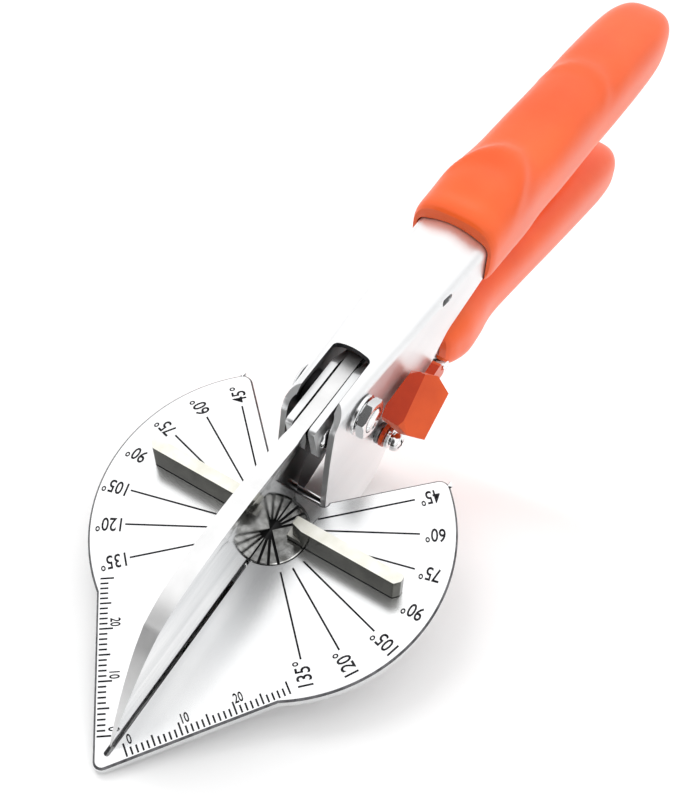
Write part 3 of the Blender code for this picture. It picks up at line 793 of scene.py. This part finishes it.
def kink():
    """Where the straight ruler edge meets the round lobe."""
    a = 1 + EDGE_SLOPE**2
    b = -2 * PLATE_ARC_X - 2 * EDGE_SLOPE**2 * TIP_X
    c = PLATE_ARC_X**2 + (EDGE_SLOPE * TIP_X) ** 2 - PLATE_RADIUS**2
    x = (-b + math.sqrt(b * b - 4 * a * c)) / (2 * a)
    return x, (TIP_X - x) * EDGE_SLOPE


def plate_outline():
    kink_x, kink_y = kink()
    start = math.degrees(math.atan2(kink_y, kink_x - PLATE_ARC_X))
    shift = REAR_EDGE_SUM - PLATE_ARC_X
    corner_y = (shift + math.sqrt(2 * PLATE_RADIUS**2 - shift**2)) / 2
    corner_x = REAR_EDGE_SUM - corner_y
    end = math.degrees(math.atan2(corner_y, corner_x - PLATE_ARC_X))
    lobe = arc((PLATE_ARC_X, 0.0), PLATE_RADIUS, start, end, 72)
    half = [(x, y, 0) for x, y in lobe[:-1]]
    half.append((corner_x, corner_y, 2.2))
    half += [(REAR_EDGE_SUM - NOTCH_HALF, NOTCH_HALF, 0), (NOTCH_X, NOTCH_HALF, 1.0)]
    other = [(x, -y, radius) for x, y, radius in reversed(half)]
    return rounded([(TIP_X, 0.0, 1.6), *half, *other], 6)


def inset(outline, distance):
    """The outline moved inwards. It runs anticlockwise."""
    moved = []
    for i, here in enumerate(outline):
        before = Vector(outline[i - 1])
        after = Vector(outline[(i + 1) % len(outline)])
        along = (after - before).normalized()
        moved.append((here[0] - along.y * distance, here[1] + along.x * distance))
    return moved


def plate_pieces():
    outline = plate_outline()
    low = [(x, y, -PLATE_THICK) for x, y in outline]
    shoulder = [(x, y, -PLATE_CHAMFER) for x, y in outline]
    top = [(x, y, 0.0) for x, y in inset(outline, PLATE_CHAMFER)]
    piece = loft("protractor_plate", [low, shoulder, top])
    slot = [(6.0, -SLOT_HALF, 0), (SLOT_END_X, -SLOT_HALF, 0.5)]
    slot += [(SLOT_END_X, SLOT_HALF, 0.5), (6.0, SLOT_HALF, 0)]
    cut(
        piece,
        cylinder("disc_hole", (0, 0), "Z", DISC_RADIUS + GAP, -5, 5, 96),
        slab("slot", rounded(slot), -5, 5),
    )
    soften(piece, 0.22, 2, 60)
    finish_piece(piece, "body", "polished_steel", "plate", "base_plate")

    def is_dark(centre, normal):
        """The chamfer round the outline and the walls of the slot, which get a painted shade."""
        if abs(normal.z) < 0.3:
            return abs(centre.y) < 1.0 and DISC_RADIUS < centre.x < SLOT_END_X + 0.5
        return 0.3 < normal.z < 0.98

    # painted shade on the outline's chamfer and the slot's walls
    paint(piece, "plate_edge_painted_shade", is_dark)


DEGREES = range(45, 136, 15)
LINE_START = 9.2
LINE_WIDTH = 0.36
LINE_GAP = 2.9
LABEL_RADIUS = 31.2
LABEL_HEIGHT = 2.9
LABEL_CONDENSE = 0.74
RULER_ZERO = (49.6, 3.3)
TICK_WIDTH = 0.34
TICK_LENGTHS = {"ten": 2.5, "five": 2.1, "one": 1.5}
FIGURE_HEIGHT = 1.9
FIGURE_CONDENSE = 0.66
FIGURE_ALONG = 1.2
FIGURE_INWARD = 2.8
INK_HEIGHT = 0.02
BOLDER = 0.05
CAPITAL_SHARE = 0.73


def stroke(start, end, width):
    """A straight printed line between two points of the plate."""
    a = Vector(start)
    b = Vector(end)
    side = (b - a).normalized().orthogonal() * width / 2
    shape = bmesh.new()
    base = [shape.verts.new((*p, 0)) for p in (a + side, b + side, b - side, a - side)]
    face = shape.faces.new(base)
    top = bmesh.ops.extrude_face_region(shape, geom=[face])["geom"]
    raised = [v for v in top if isinstance(v, bmesh.types.BMVert)]
    bmesh.ops.translate(shape, vec=(0, 0, INK_HEIGHT), verts=raised)
    return from_bmesh("stroke", shape)


def lettering(text, centre, direction, height, condense):
    """Printed figures, centred on a point of the plate and reading along a direction."""
    curve = bpy.data.curves.new("figures", "FONT")
    curve.body = text
    curve.size = height / CAPITAL_SHARE * MM
    curve.align_x = "CENTER"
    curve.align_y = "CENTER"
    curve.extrude = INK_HEIGHT / 2 * MM
    curve.offset = BOLDER * MM
    curve.resolution_u = 3
    figures = link("figures", curve)
    graph = bpy.context.evaluated_depsgraph_get()
    mesh = bpy.data.meshes.new_from_object(figures.evaluated_get(graph))
    bpy.data.objects.remove(figures, do_unlink=True)
    angle = math.atan2(direction[1], direction[0])
    place = Matrix.Translation(Vector((centre[0], centre[1], INK_HEIGHT / 2)) * MM)
    mesh.transform(place @ Matrix.Rotation(angle, 4, "Z") @ Matrix.Scale(condense, 4, (1, 0, 0)))
    return link("figures", mesh)


def ruler_marks(side):
    """Ticks one millimetre apart along one straight edge, with longer ones at fives and tens."""
    slant = math.radians(TIP_HALF_ANGLE)
    along = Vector((-math.cos(slant), side * math.sin(slant)))
    inward = Vector((-math.sin(slant), -side * math.cos(slant)))
    zero = Vector((RULER_ZERO[0], side * RULER_ZERO[1]))
    marks = []
    for tick in range(31):
        start = zero + along * tick
        kind = "ten" if tick % 10 == 0 else "five" if tick % 5 == 0 else "one"
        marks.append(stroke(start, start + inward * TICK_LENGTHS[kind], TICK_WIDTH))
    reading = along if side > 0 else -along
    for tens in (0, 10, 20):
        centre = zero + along * (tens + FIGURE_ALONG) + inward * FIGURE_INWARD
        marks.append(lettering(str(tens), centre, reading, FIGURE_HEIGHT, FIGURE_CONDENSE))
    return marks


def printed_marks():
    marks = []
    for side in (-1, 1):
        marks += ruler_marks(side)
        for degree in DEGREES:
            angle = math.radians(degree)
            outward = Vector((-math.cos(angle), side * math.sin(angle)))
            reading = -outward if side > 0 else outward
            label_radius = LABEL_RADIUS - 0.05 * max(0, degree - 105)
            line_end = BAR_OUTER - 1.5 if degree == 90 else label_radius - LINE_GAP
            marks.append(stroke(outward * LINE_START, outward * line_end, LINE_WIDTH))
            label = f"{degree}°"
            marks.append(lettering(label, outward * label_radius, reading, LABEL_HEIGHT, LABEL_CONDENSE))
    piece = joined("plate_printing", marks)
    finish_piece(piece, "body", "polished_steel", "ink")


# ---- jaw under the plate


JAW_TOP = -2.3
JAW_BOTTOM = -3.8
JAW_SCREWS = [(-3.0, 9.2), (-3.0, -9.2), (19.0, 7.1), (19.0, -7.1)]
JAW_SCREW_PROFILE = [
    (0.0, -0.9),
    (1.1, -0.9),
    (1.1, -4.1),
    (1.85, -4.15),
    (1.9, -4.5),
    (1.6, -5.2),
    (0.0, -5.5),
]


def jaw_pieces():
    half = [(49.0, 0.9, 0), (22.0, 8.6, 10.0), (4.0, 12.0, 6.0), (-9.8, 12.0, 3.0)]
    outline = rounded(half + [(x, -y, radius) for x, y, radius in reversed(half)])
    piece = slab("jaw_plate", outline, JAW_BOTTOM, JAW_TOP)
    holes = [cylinder("screw_hole", place, "Z", 1.4, -10, 5, 32) for place in JAW_SCREWS]
    cut(
        piece,
        cylinder("hub_hole", (0, 0), "Z", 2.7, -10, 5),
        block("slot", (12.0, -SLOT_HALF, -10), (46.0, SLOT_HALF, 5)),
        *holes,
    )
    soften(piece, 0.15)
    chrome(piece, "body", "lower_jaw")
    for i, (x, y) in enumerate(JAW_SCREWS):
        screw = turned("screw", (x, y), "Z", JAW_SCREW_PROFILE, 32)
        for a, b in ((1.1, 0.22), (0.22, 1.1)):
            cut(screw, block("cross", (x - a, y - b, -6), (x + a, y + b, -4.8)))
        screw.name = f"jaw_screw_head_{i + 1}"
        chrome(shade(screw), "body", f"jaw_screw_{i + 1}")
    for label, (x, z) in zip(("front", "rear"), JAW_RIVETS):
        face = between(BODY_STATIONS, x)[0] + GAP
        top = [(0.0, face + 1.0), (0.9, face + 0.95), (1.7, face + 0.7)]
        top += [(2.3, face + 0.3), (2.4, face), (1.3, face)]
        profile = top + [(radius, -height) for radius, height in reversed(top)]
        rivet = turned(f"rivet_{label}", (x, z), "Y", profile, 40)
        chrome(shade(rivet), "body", f"jaw_rivet_{label}")


# ---- pivot


def washer(name, centre, axis, inner, outer, low, high):
    edge = 0.12
    profile = [(outer - edge, high), (outer, high - edge), (outer, low + edge), (outer - edge, low)]
    profile += [(inner, low), (inner, high)]
    return shade(turned(name, centre, axis, profile))


def hex_nut(name, centre, axis, inner, corner, low, high):
    """A hexagon with both ends chamfered by a cone and a plain bore."""
    piece = cylinder(name, centre, axis, corner, low, high, 6)
    cone = [(0.0, high + 0.01), (corner * 0.9, high + 0.01), (corner * 1.02, high - corner * 0.09)]
    cone += [(corner * 1.02, low + corner * 0.09), (corner * 0.9, low - 0.01), (0.0, low - 0.01)]
    cut(piece, turned("crown", centre, axis, cone), operation="INTERSECT")
    cut(piece, cylinder("bore", centre, axis, inner, low - 2, high + 2, 48))
    return soften(piece, 0.1, 2, 25)


def threaded(radius, low, high, pitch=0.8, depth=0.22):
    """Profile of a bolt's end, as rings of crests and roots."""
    turns = int((high - low) / pitch)
    points = [(0.0, high), (radius - 0.5, high)]
    for turn in range(turns):
        top = high - 0.2 - turn * pitch
        points += [(radius, top - pitch * 0.25), (radius - depth, top - pitch * 0.75)]
    return points


def pivot_pieces():
    half = between(BODY_STATIONS, PIVOT[0])[0]
    face = half + GAP
    dome = [(2.4, -face), (4.0, -face), (4.1, -face - 0.12)]
    for angle in range(12, 90, 6):
        spread = math.cos(math.radians(angle))
        rise = math.sin(math.radians(angle))
        dome.append((4.1 * spread, -face - 1.5 * rise))
    profile = threaded(2.4, face, 9.5) + [(2.35, face), *dome, (0.0, -face - 1.5)]
    bolt = shade(turned("pivot_bolt_head", PIVOT, "Y", profile), 50)
    chrome(bolt, "body", "pivot_bolt")
    ring = washer("pivot_flat_washer", PIVOT, "Y", 2.65, 4.1, face, face + 0.7)
    chrome(ring, "body", "pivot_washer")
    nut = hex_nut("pivot_hex_nut", PIVOT, "Y", 2.65, 4.1, face + 1.0, face + 2.7)
    chrome(nut, "body", "pivot_nut")
    for side, label in ((-1, "left"), (1, "right")):
        low, high = sorted((side * (FORK_HALF + GAP), side * (half - SHEET - GAP)))
        spacer = washer(f"spacer_{label}", PIVOT, "Y", 2.65, 3.9, low, high)
        # painted shade: the spacers inside the channel take the near-black inner material for the shade
        # there
        finish_piece(spacer, "body", "chrome", "inner_painted_shade", f"pivot_spacer_{label}")


# ---- lever


FORK_HALF = 3.1
LEVER_STATIONS = [
    # x, outer half width, underside height
    (-146.0, 6.6, -39.3),
    (-62.0, 6.6, -9.6),
    (-57.0, 6.1, -7.8),
    (-52.0, 5.4, -6.0),
    (-46.0, 4.6, -3.9),
    (-38.0, 3.6, -1.1),
    (-34.0, FORK_HALF, 0.3),
    (-8.0, FORK_HALF, 9.5),
]
LEVER_SIDE = [
    (-10.6, 22.0, 1.0),
    (-27.0, 21.2, 3.0),
    (-34.0, 17.0, 6.0),
    (-47.0, 8.0, 8.0),
    (-59.0, -1.2, 4.0),
    (-146.0, -29.9, 0),
    (-146.0, -60.0, 0),
    (-54.0, -16.0, 0),
    (-47.6, -5.0, 3.0),
    (-38.6, 9.6, 2.0),
    (-30.0, 10.2, 3.0),
    (-22.0, 9.2, 6.0),
    (-12.0, 11.6, 2.0),
]
BLADE_BOLTS = [(-14.6, 15.6), (-28.6, 15.2)]
BOLT_HOLE = 1.5
CATCH_PIN = (-51.8, -2.9)
CATCH_PIN_END = 9.2


def open_u(x, half, underside, top):
    """Section of the lever: cheeks down from the top, round corners and a flat web below."""
    corner = min(2.4, half - 0.6)
    side = [(half, top)]
    side += arc((half - corner, underside + corner), corner, 0, -90, 8)
    right = [(x, y, z) for y, z in side]
    left = [(x, -y, z) for x, y, z in reversed(right)]
    return right + left


def lever_pieces():
    sections = [open_u(x, half, underside, 40.0)[::-1] for x, half, underside in LEVER_STATIONS]
    piece = pressed("lever_fork", sections, LEVER_SHEET)
    side = slab("side", rounded(LEVER_SIDE), -ALL_ACROSS, ALL_ACROSS, upright=True)
    cut(piece, side, operation="INTERSECT")
    cut(
        piece,
        hole_across(PIVOT, PIVOT_HOLE, 64),
        cylinder("pin_hole", CATCH_PIN, "Y", BOLT_HOLE, 0, ALL_ACROSS, 32),
        *[hole_across(place, BOLT_HOLE) for place in BLADE_BOLTS],
    )
    soften(piece, 0.18)
    finish_piece(piece, "lever", "chrome", "sheet_chrome", "lever_channel")

    # Painted shade: the faces inside the lever's channel get the near-black inner material for the shade
    # there.
    def faces_inward(centre, normal):
        core = Vector((centre.x, 0.0, between(LEVER_STATIONS, centre.x)[1] + 6.0))
        return normal.dot(centre - core) < 0 and abs(normal.x) < 0.8

    paint(piece, "inner_painted_shade", faces_inward)
    head = FORK_HALF + 0.15
    end = -FORK_HALF - 1.1
    for label, place in zip(("front", "rear"), BLADE_BOLTS):
        profile = [(0.0, head + 0.9), (0.9, head + 0.88), (1.6, head + 0.75), (2.05, head + 0.3)]
        profile += [(2.1, head), (1.2, head), (1.2, end), (0.0, end)]
        bolt = turned(f"blade_screw_{label}", place, "Y", profile, 40)
        slot_low = (place[0] - 3, head + 0.5, place[1] - 0.25)
        slot_high = (place[0] + 3, head + 2, place[1] + 0.25)
        cut(bolt, block("slot", slot_low, slot_high))
        chrome(shade(bolt), "lever", f"blade_bolt_{label}")
        nut = hex_nut(f"blade_hex_nut_{label}", place, "Y", 1.4, 2.2, end - 0.1, end + 0.95)
        chrome(nut, "lever", f"blade_nut_{label}")
    collar = between(LEVER_STATIONS, CATCH_PIN[0])[0] + GAP
    profile = [(0.0, CATCH_PIN_END), (1.2, CATCH_PIN_END), (1.4, CATCH_PIN_END - 0.08)]
    profile += [(1.5, CATCH_PIN_END - 0.25), (1.5, collar), (1.2, collar), (1.2, 4.1), (0.0, 4.1)]
    pin = turned("latch_catch_pin", CATCH_PIN, "Y", profile, 40)
    chrome(shade(pin), "lever", "catch_pin")


# ---- blade


SPINE_HALF = 1.8
TANG_HALF = 1.4
TANG_END_X = -9.5
EDGE_HALF = 0.12
SPINE_Z = 24.2
EDGE_Z = 0.3
HEEL_X = -8.5
BLADE_SPINE = [
    (-26.5, 20.9),
    (-10.0, 21.9),
    (4.0, 23.7),
    (17.0, SPINE_Z),
    (28.0, 23.0),
    (34.5, 20.6),
]
BLADE_NOSE = [(34.5, 20.6), (38.6, 16.8), (43.0, 11.4), (47.2, 5.4), (50.2, EDGE_Z)]


def blade_pieces():
    heel = [(HEEL_X, EDGE_Z), (HEEL_X - 0.6, 5.0), (HEEL_X - 2.0, 9.6), (-12.9, 11.7), (-26.5, 11.5)]
    tang = arc((-28.6, 16.2), 4.7, 270, 90, 16)[1:-1]
    outline = spline(BLADE_SPINE, 6) + spline(BLADE_NOSE, 6)[1:] + heel + tang
    piece = slab("leaf_blade", outline, -1, 1, upright=True)
    for vertex in piece.data.vertices:
        share = max(0.0, (vertex.co.z / MM - EDGE_Z) / (SPINE_Z - EDGE_Z))
        half = EDGE_HALF + (SPINE_HALF - EDGE_HALF) * share
        if vertex.co.x / MM < TANG_END_X:
            half = min(half, TANG_HALF)
        vertex.co.y = math.copysign(half, vertex.co.y) * MM
    holes = [hole_across(place, BOLT_HOLE) for place in BLADE_BOLTS]
    cut(piece, hole_across(PIVOT, PIVOT_HOLE, 64), *holes)
    soften(piece, 0.1)
    finish_piece(piece, "lever", "blade_steel", "blade", "blade")

    def is_back(centre, normal):
        return abs(normal.y) < 0.9 and centre.z > EDGE_Z + 0.4

    paint(piece, "blade_back", is_back)


# ---- fence


GROOVE_ANGLES = range(-45, 46, 15)
GROOVE_HALF = 0.28
GROOVE_DEPTH = 0.5
BAR_FRONT = 0.1
BAR_BACK = -2.4
BAR_INNER = 4.6
BAR_OUTER = 27.7
BAR_LOW = 0.3
BAR_HIGH = 6.3
BAR_PIN = (-1.1, 5.6)
FOOT_INNER = 3.7
FOOT_OUTER = 7.6
FOOT_RISE = 1.3


def fence_pieces():
    profile = [(0.0, 0.0), (DISC_RADIUS - 0.2, 0.0), (DISC_RADIUS, -0.2), (DISC_RADIUS, -PLATE_THICK)]
    profile += [(2.4, -PLATE_THICK), (2.4, -8.4), (2.2, -8.6), (0.0, -8.6)]
    disc = turned("grooved_disc", (0, 0), "Z", profile, 96)
    grooves = []
    for angle in GROOVE_ANGLES:
        groove = block("groove", (-9, -GROOVE_HALF, -GROOVE_DEPTH), (9, GROOVE_HALF, 1))
        groove.data.transform(Matrix.Rotation(math.radians(angle), 4, "Z"))
        grooves.append(groove)
    cut(disc, *grooves)
    weld(disc)
    finish_piece(shade(disc, 30), "fence", "polished_steel", "disc", "fence_disc")

    def in_groove(centre, normal):
        return -GROOVE_DEPTH - 0.1 < centre.z < -0.01 and centre.xy.length < DISC_RADIUS - 0.25

    paint(disc, "groove", in_groove)
    for side, label in ((-1, "left"), (1, "right")):
        corners = [
            (BAR_BACK, BAR_INNER, 0.3),
            (BAR_FRONT - 0.7, BAR_INNER, 0.2),
            (BAR_FRONT, BAR_INNER + 2.4, 0),
            (BAR_FRONT, BAR_OUTER - 1.0, 0.5),
            (BAR_FRONT - 1.1, BAR_OUTER, 0.5),
            (BAR_BACK, BAR_OUTER, 0.4),
        ]
        outline = rounded([(x, side * y, radius) for x, y, radius in corners], 4)
        bar = slab(f"fence_bar_{label[0]}", outline, BAR_LOW, BAR_HIGH)
        near, far = sorted((side * FOOT_INNER, side * FOOT_OUTER))
        foot_low = (BAR_BACK + 0.05, near, BAR_LOW)
        foot_high = (BAR_FRONT - 0.05, far, BAR_LOW + FOOT_RISE)
        cut(bar, block("foot", foot_low, foot_high), operation="UNION")
        pin_place = (BAR_PIN[0], side * BAR_PIN[1])
        cut(bar, cylinder("pin_hole", pin_place, "Z", 0.75, -2, 5, 24))
        soften(bar, 0.22)
        # painted light and shade: the bar takes the dark side copy and its top faces the bright copy
        finish_piece(bar, "fence", "fence_steel", "fence", f"fence_bar_{label}")
        paint(bar, "fence_top_painted_light", lambda centre, normal: normal.z > 0.6)
        profile = [(0.0, 4.6), (0.5, 4.5), (0.5, -1.2), (0.0, -1.2)]
        pin = turned(f"bar_pin_{label}", pin_place, "Z", profile, 24)
        chrome(shade(pin), "fence", f"fence_pin_{label}")
    spring = washer("hub_spring_washer", (0, 0), "Z", 2.65, 3.8, -4.9, -4.1)
    finish_piece(spring, "fence", "spring_steel", "dark_steel", "fence_spring_washer")
    nut = hex_nut("hub_hex_nut", (0, 0), "Z", 2.65, 3.7, -7.5, -5.2)
    chrome(nut, "fence", "fence_hub_nut")


# ---- latch


LATCH_INNER = 7.8
LATCH_THICK = 1.9
BOSS_THICK = 0.8
PAD_THICK = 2.4
SCREW_FACE = 10.4
LATCH_SIDE = [
    (-26.3, -0.8, 2.2),
    (-26.3, 3.8, 2.2),
    (-30.6, 3.6, 1.0),
    (-31.6, 9.0, 1.0),
    (-39.0, 9.4, 1.2),
    (-44.0, 3.0, 1.5),
    (-48.2, 3.5, 0.8),
    (-48.5, 0.4, 0.5),
    (-49.8, -0.4, 0.5),
    (-49.6, -2.2, 0.5),
    (-45.6, -1.6, 1.0),
    (-36.0, -0.2, 3.0),
    (-31.4, -0.9, 2.0),
]
PAD_LEFT = [
    # the pad's two flat faces share a ridge: each list ends with the ridge's two ends
    (-36.7, 8.3, 13.2),
    (-29.4, 7.4, 10.8),
    (-27.2, 7.8, 10.0),
    (-27.3, 11.4, 9.6),
    (-37.9, 9.7, 13.4),
    (-38.0, 11.0, 13.3),
    (-28.6, 11.9, 10.0),
]
PAD_RIGHT = [
    (-40.1, 12.8, 11.5),
    (-39.8, 15.6, 8.0),
    (-29.8, 16.1, 5.0),
    (-27.3, 13.4, 7.9),
    (-38.0, 11.0, 13.3),
    (-28.6, 11.9, 10.0),
]


def facet_normal(corners):
    """The upward unit normal of a flat face."""
    first, second, third = (Vector(corner) for corner in (corners[0], corners[2], corners[-1]))
    normal = (second - first).cross(third - first).normalized()
    return normal if normal.z > 0 else -normal


def thumb_pad():
    """A closed slab below the two faces of the pad, kept clear of the cheek."""
    shape = bmesh.new()
    below = facet_normal(PAD_RIGHT) * PAD_THICK
    for corner in PAD_LEFT + PAD_RIGHT[:-2]:
        under = Vector(corner) - below
        shape.verts.new(corner)
        shape.verts.new((under.x, max(under.y, LATCH_INNER), under.z))
    bmesh.ops.convex_hull(shape, input=shape.verts)
    loose = [vertex for vertex in shape.verts if not vertex.link_faces]
    bmesh.ops.delete(shape, geom=loose, context="VERTS")
    return from_bmesh("pad", shape)


def latch_pieces():
    outer = LATCH_INNER + LATCH_THICK
    piece = slab("latch_lever", rounded(LATCH_SIDE), LATCH_INNER, outer, upright=True)
    cut(piece, thumb_pad(), operation="UNION")
    recess = cylinder("recess", LATCH_PIVOT, "Y", 2.9, LATCH_INNER + BOSS_THICK, 20)
    cut(piece, recess, cylinder("hole", LATCH_PIVOT, "Y", LATCH_HOLE, 0, 20, 48))
    soften(piece, 0.3, 3, 14)
    finish_piece(piece, "thumb_latch", "orange_latch", "latch", "latch")
    # painted shade: the pad's face left of the ridge gets the darker orange for the body's shade on it
    ridge_side = facet_normal(PAD_LEFT)
    paint(piece, "latch_shade", lambda centre, normal: normal.dot(ridge_side) > 0.97)
    latch_screw_pieces()


def latch_screw_pieces():
    """The latch's pan-head screw, with its two washers and its nut."""
    half = between(BODY_STATIONS, LATCH_PIVOT[0])[0]
    head = SCREW_FACE
    end = -half - 3.0
    profile = [(0.0, head + 1.5), (0.8, head + 1.48), (1.5, head + 1.3), (1.95, head + 0.95)]
    profile += [(2.15, head + 0.5), (2.2, head), (1.2, head), (1.2, end), (0.0, end)]
    screw = turned("latch_pan_screw", LATCH_PIVOT, "Y", profile, 48)
    x, z = LATCH_PIVOT
    cross = []
    for a, b in ((1.3, 0.24), (0.24, 1.3)):
        cross.append(block("cross", (x - a, head + 0.8, z - b), (x + a, head + 3.0, z + b)))
    cut(screw, *cross)
    chrome(shade(screw), "body", "latch_screw")
    inner = washer("latch_spring_washer", LATCH_PIVOT, "Y", 1.45, 2.3, half + GAP, half + 1.05)
    finish_piece(inner, "body", "spring_steel", "dark_steel", "latch_washer_inner")
    face = LATCH_INNER + BOSS_THICK + GAP
    outer_ring = washer("latch_flat_washer", LATCH_PIVOT, "Y", 1.45, 2.2, face, face + 0.8)
    chrome(outer_ring, "body", "latch_washer_outer")
    nut = hex_nut("latch_hex_nut", LATCH_PIVOT, "Y", 1.45, 3.0, -half - 2.3, -half - GAP)
    chrome(nut, "body", "latch_nut")


# ---- spring


SPRING_PLACE = (-50.4, 0.0)
SPRING_RADIUS = 3.0
SPRING_WIRE = 0.45
SPRING_TOP = 20.2
SPRING_BOTTOM = -2.2
SPRING_TURNS = 9
STEPS_PER_TURN = 32
WIRE_SIDES = 10


def spring_piece():
    """An open coil with a closed turn at each end."""
    shape = bmesh.new()
    steps = SPRING_TURNS * STEPS_PER_TURN
    rings = []
    for i in range(steps + 1):
        share = i / steps
        angle = 2 * math.pi * SPRING_TURNS * share
        climb = 0.08 * share + 0.92 * ease(share, 0.02, 0.98)
        height = SPRING_BOTTOM + (SPRING_TOP - SPRING_BOTTOM) * climb
        radial = Vector((math.cos(angle), math.sin(angle), 0))
        centre = Vector((*SPRING_PLACE, height)) + radial * SPRING_RADIUS
        ring = arc((0, 0), SPRING_WIRE, 0, 360, WIRE_SIDES)[:-1]
        rings.append([shape.verts.new(centre + radial * a + Vector((0, 0, b))) for a, b in ring])
    for first, second in zip(rings, rings[1:]):
        for i in range(WIRE_SIDES):
            j = (i + 1) % WIRE_SIDES
            shape.faces.new((first[i], first[j], second[j], second[i]))
    shape.faces.new(rings[0])
    shape.faces.new(rings[-1])
    piece = shade(from_bmesh("handle_spring", shape), 60)
    piece.data.materials.append(MATERIALS["dark_steel"])
    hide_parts("return_spring")
    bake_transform(piece)


def make_object():
    body_pieces()
    grip("upper_sleeve", "body", UPPER_GRIP, upper_relief, upper_cavity(), "upper_grip")
    grip("lower_sleeve", "lever", LOWER_GRIP, no_relief, lower_cavity(), "lower_grip")
    plate_pieces()
    printed_marks()
    jaw_pieces()
    pivot_pieces()
    lever_pieces()
    blade_pieces()
    fence_pieces()
    latch_pieces()
    spring_piece()


# ---- stage


CAMERA_PLACE = (94.3, 70.8, 227.6)
CAMERA_ANGLES = (32.78, -0.56, 121.86)
CAMERA_LENS = 60.6


def make_camera():
    lens = bpy.data.cameras.new("camera")
    camera = bpy.data.objects.new("camera", lens)
    bpy.context.scene.collection.objects.link(camera)
    camera.location = Vector(CAMERA_PLACE) * MM
    camera.rotation_euler = [math.radians(a) for a in CAMERA_ANGLES]
    lens.lens = CAMERA_LENS
    lens.sensor_fit = "AUTO"
    lens.sensor_width = 36
    lens.clip_start = 0.005
    bpy.context.scene.camera = camera


FLOOR_DEPTH = -108.0
FALL_START = 24.0
FALL_END = 118.0


def floor_height(x):
    """A sweep that the tool's tip and jaw stand on. It falls away behind them, so the handles can open."""
    jaw = BODY_LOW.z - 0.6
    slope = (PLATE_LOW.z - GAP - jaw) / (PLATE_HIGH.x + FALL_START)
    near = jaw + slope * (x + FALL_START)
    return near + (FLOOR_DEPTH - near) * ease(-x, FALL_START, FALL_END)


def make_floor():
    shape = bmesh.new()
    across = [-4000, -600, -200, 0, 200, 600, 4000]
    along = [-4000, -1000] + [-200 + 5 * i for i in range(53)] + [80, 200, 600, 4000]
    rows = []
    for x in along:
        height = floor_height(min(x, 60))
        rows.append([shape.verts.new((x, y, height)) for y in across])
    for first, second in zip(rows, rows[1:]):
        for i in range(len(across) - 1):
            shape.faces.new((first[i], second[i], second[i + 1], first[i + 1]))
    floor = from_bmesh("floor", shape)
    floor.data.shade_smooth()
    material = surface("pale_floor", (0.93, 0.93, 0.93), (0.96, 0.96, 0.96), (0.8, 0.9), 0.0, patch=200)
    floor.data.materials.append(material)


DARK_PATCH = (0.80, -0.10, 0.55)


def make_world():
    """A white dome, a little darker at the horizon, with a dark patch beyond the plate's tip."""
    world = bpy.data.worlds.new("studio")
    bpy.context.scene.world = world
    world.use_nodes = True
    tree = world.node_tree
    background = tree.nodes["Background"]
    background.inputs["Color"].default_value = (1.0, 1.0, 1.0, 1.0)
    direction = tree.nodes.new("ShaderNodeTexCoord").outputs["Generated"]
    split = tree.nodes.new("ShaderNodeSeparateXYZ")
    tree.links.new(direction, split.inputs["Vector"])
    dome = map_range(tree, split.outputs["Z"], (0.0, 0.35), (0.775, 1.25))
    aim = tree.nodes.new("ShaderNodeVectorMath")
    aim.operation = "DOT_PRODUCT"
    aim.inputs[1].default_value = Vector(DARK_PATCH).normalized()
    tree.links.new(direction, aim.inputs[0])
    patch = map_range(tree, aim.outputs["Value"], (0.72, 0.93), (1.0, 0.06), smooth=True)
    product = tree.nodes.new("ShaderNodeMath")
    product.operation = "MULTIPLY"
    tree.links.new(dome, product.inputs[0])
    tree.links.new(patch, product.inputs[1])
    tree.links.new(product.outputs["Value"], background.inputs["Strength"])


def make_light(name, place, target, size, power):
    light = bpy.data.lights.new(name, "AREA")
    light.shape = "DISK"
    light.size = size * MM
    light.energy = power
    lamp = bpy.data.objects.new(name, light)
    bpy.context.scene.collection.objects.link(lamp)
    lamp.location = Vector(place) * MM
    lamp.rotation_euler = (Vector(target) - Vector(place)).to_track_quat("-Z", "Y").to_euler()
    lamp.visible_glossy = False


def make_stage():
    bpy.context.scene.view_settings.view_transform = "Standard"
    make_camera()
    make_floor()
    make_world()
    make_light("key", (-260, -420, 620), (-40, 0, 0), 420, 1.5)


make_object()
make_stage()
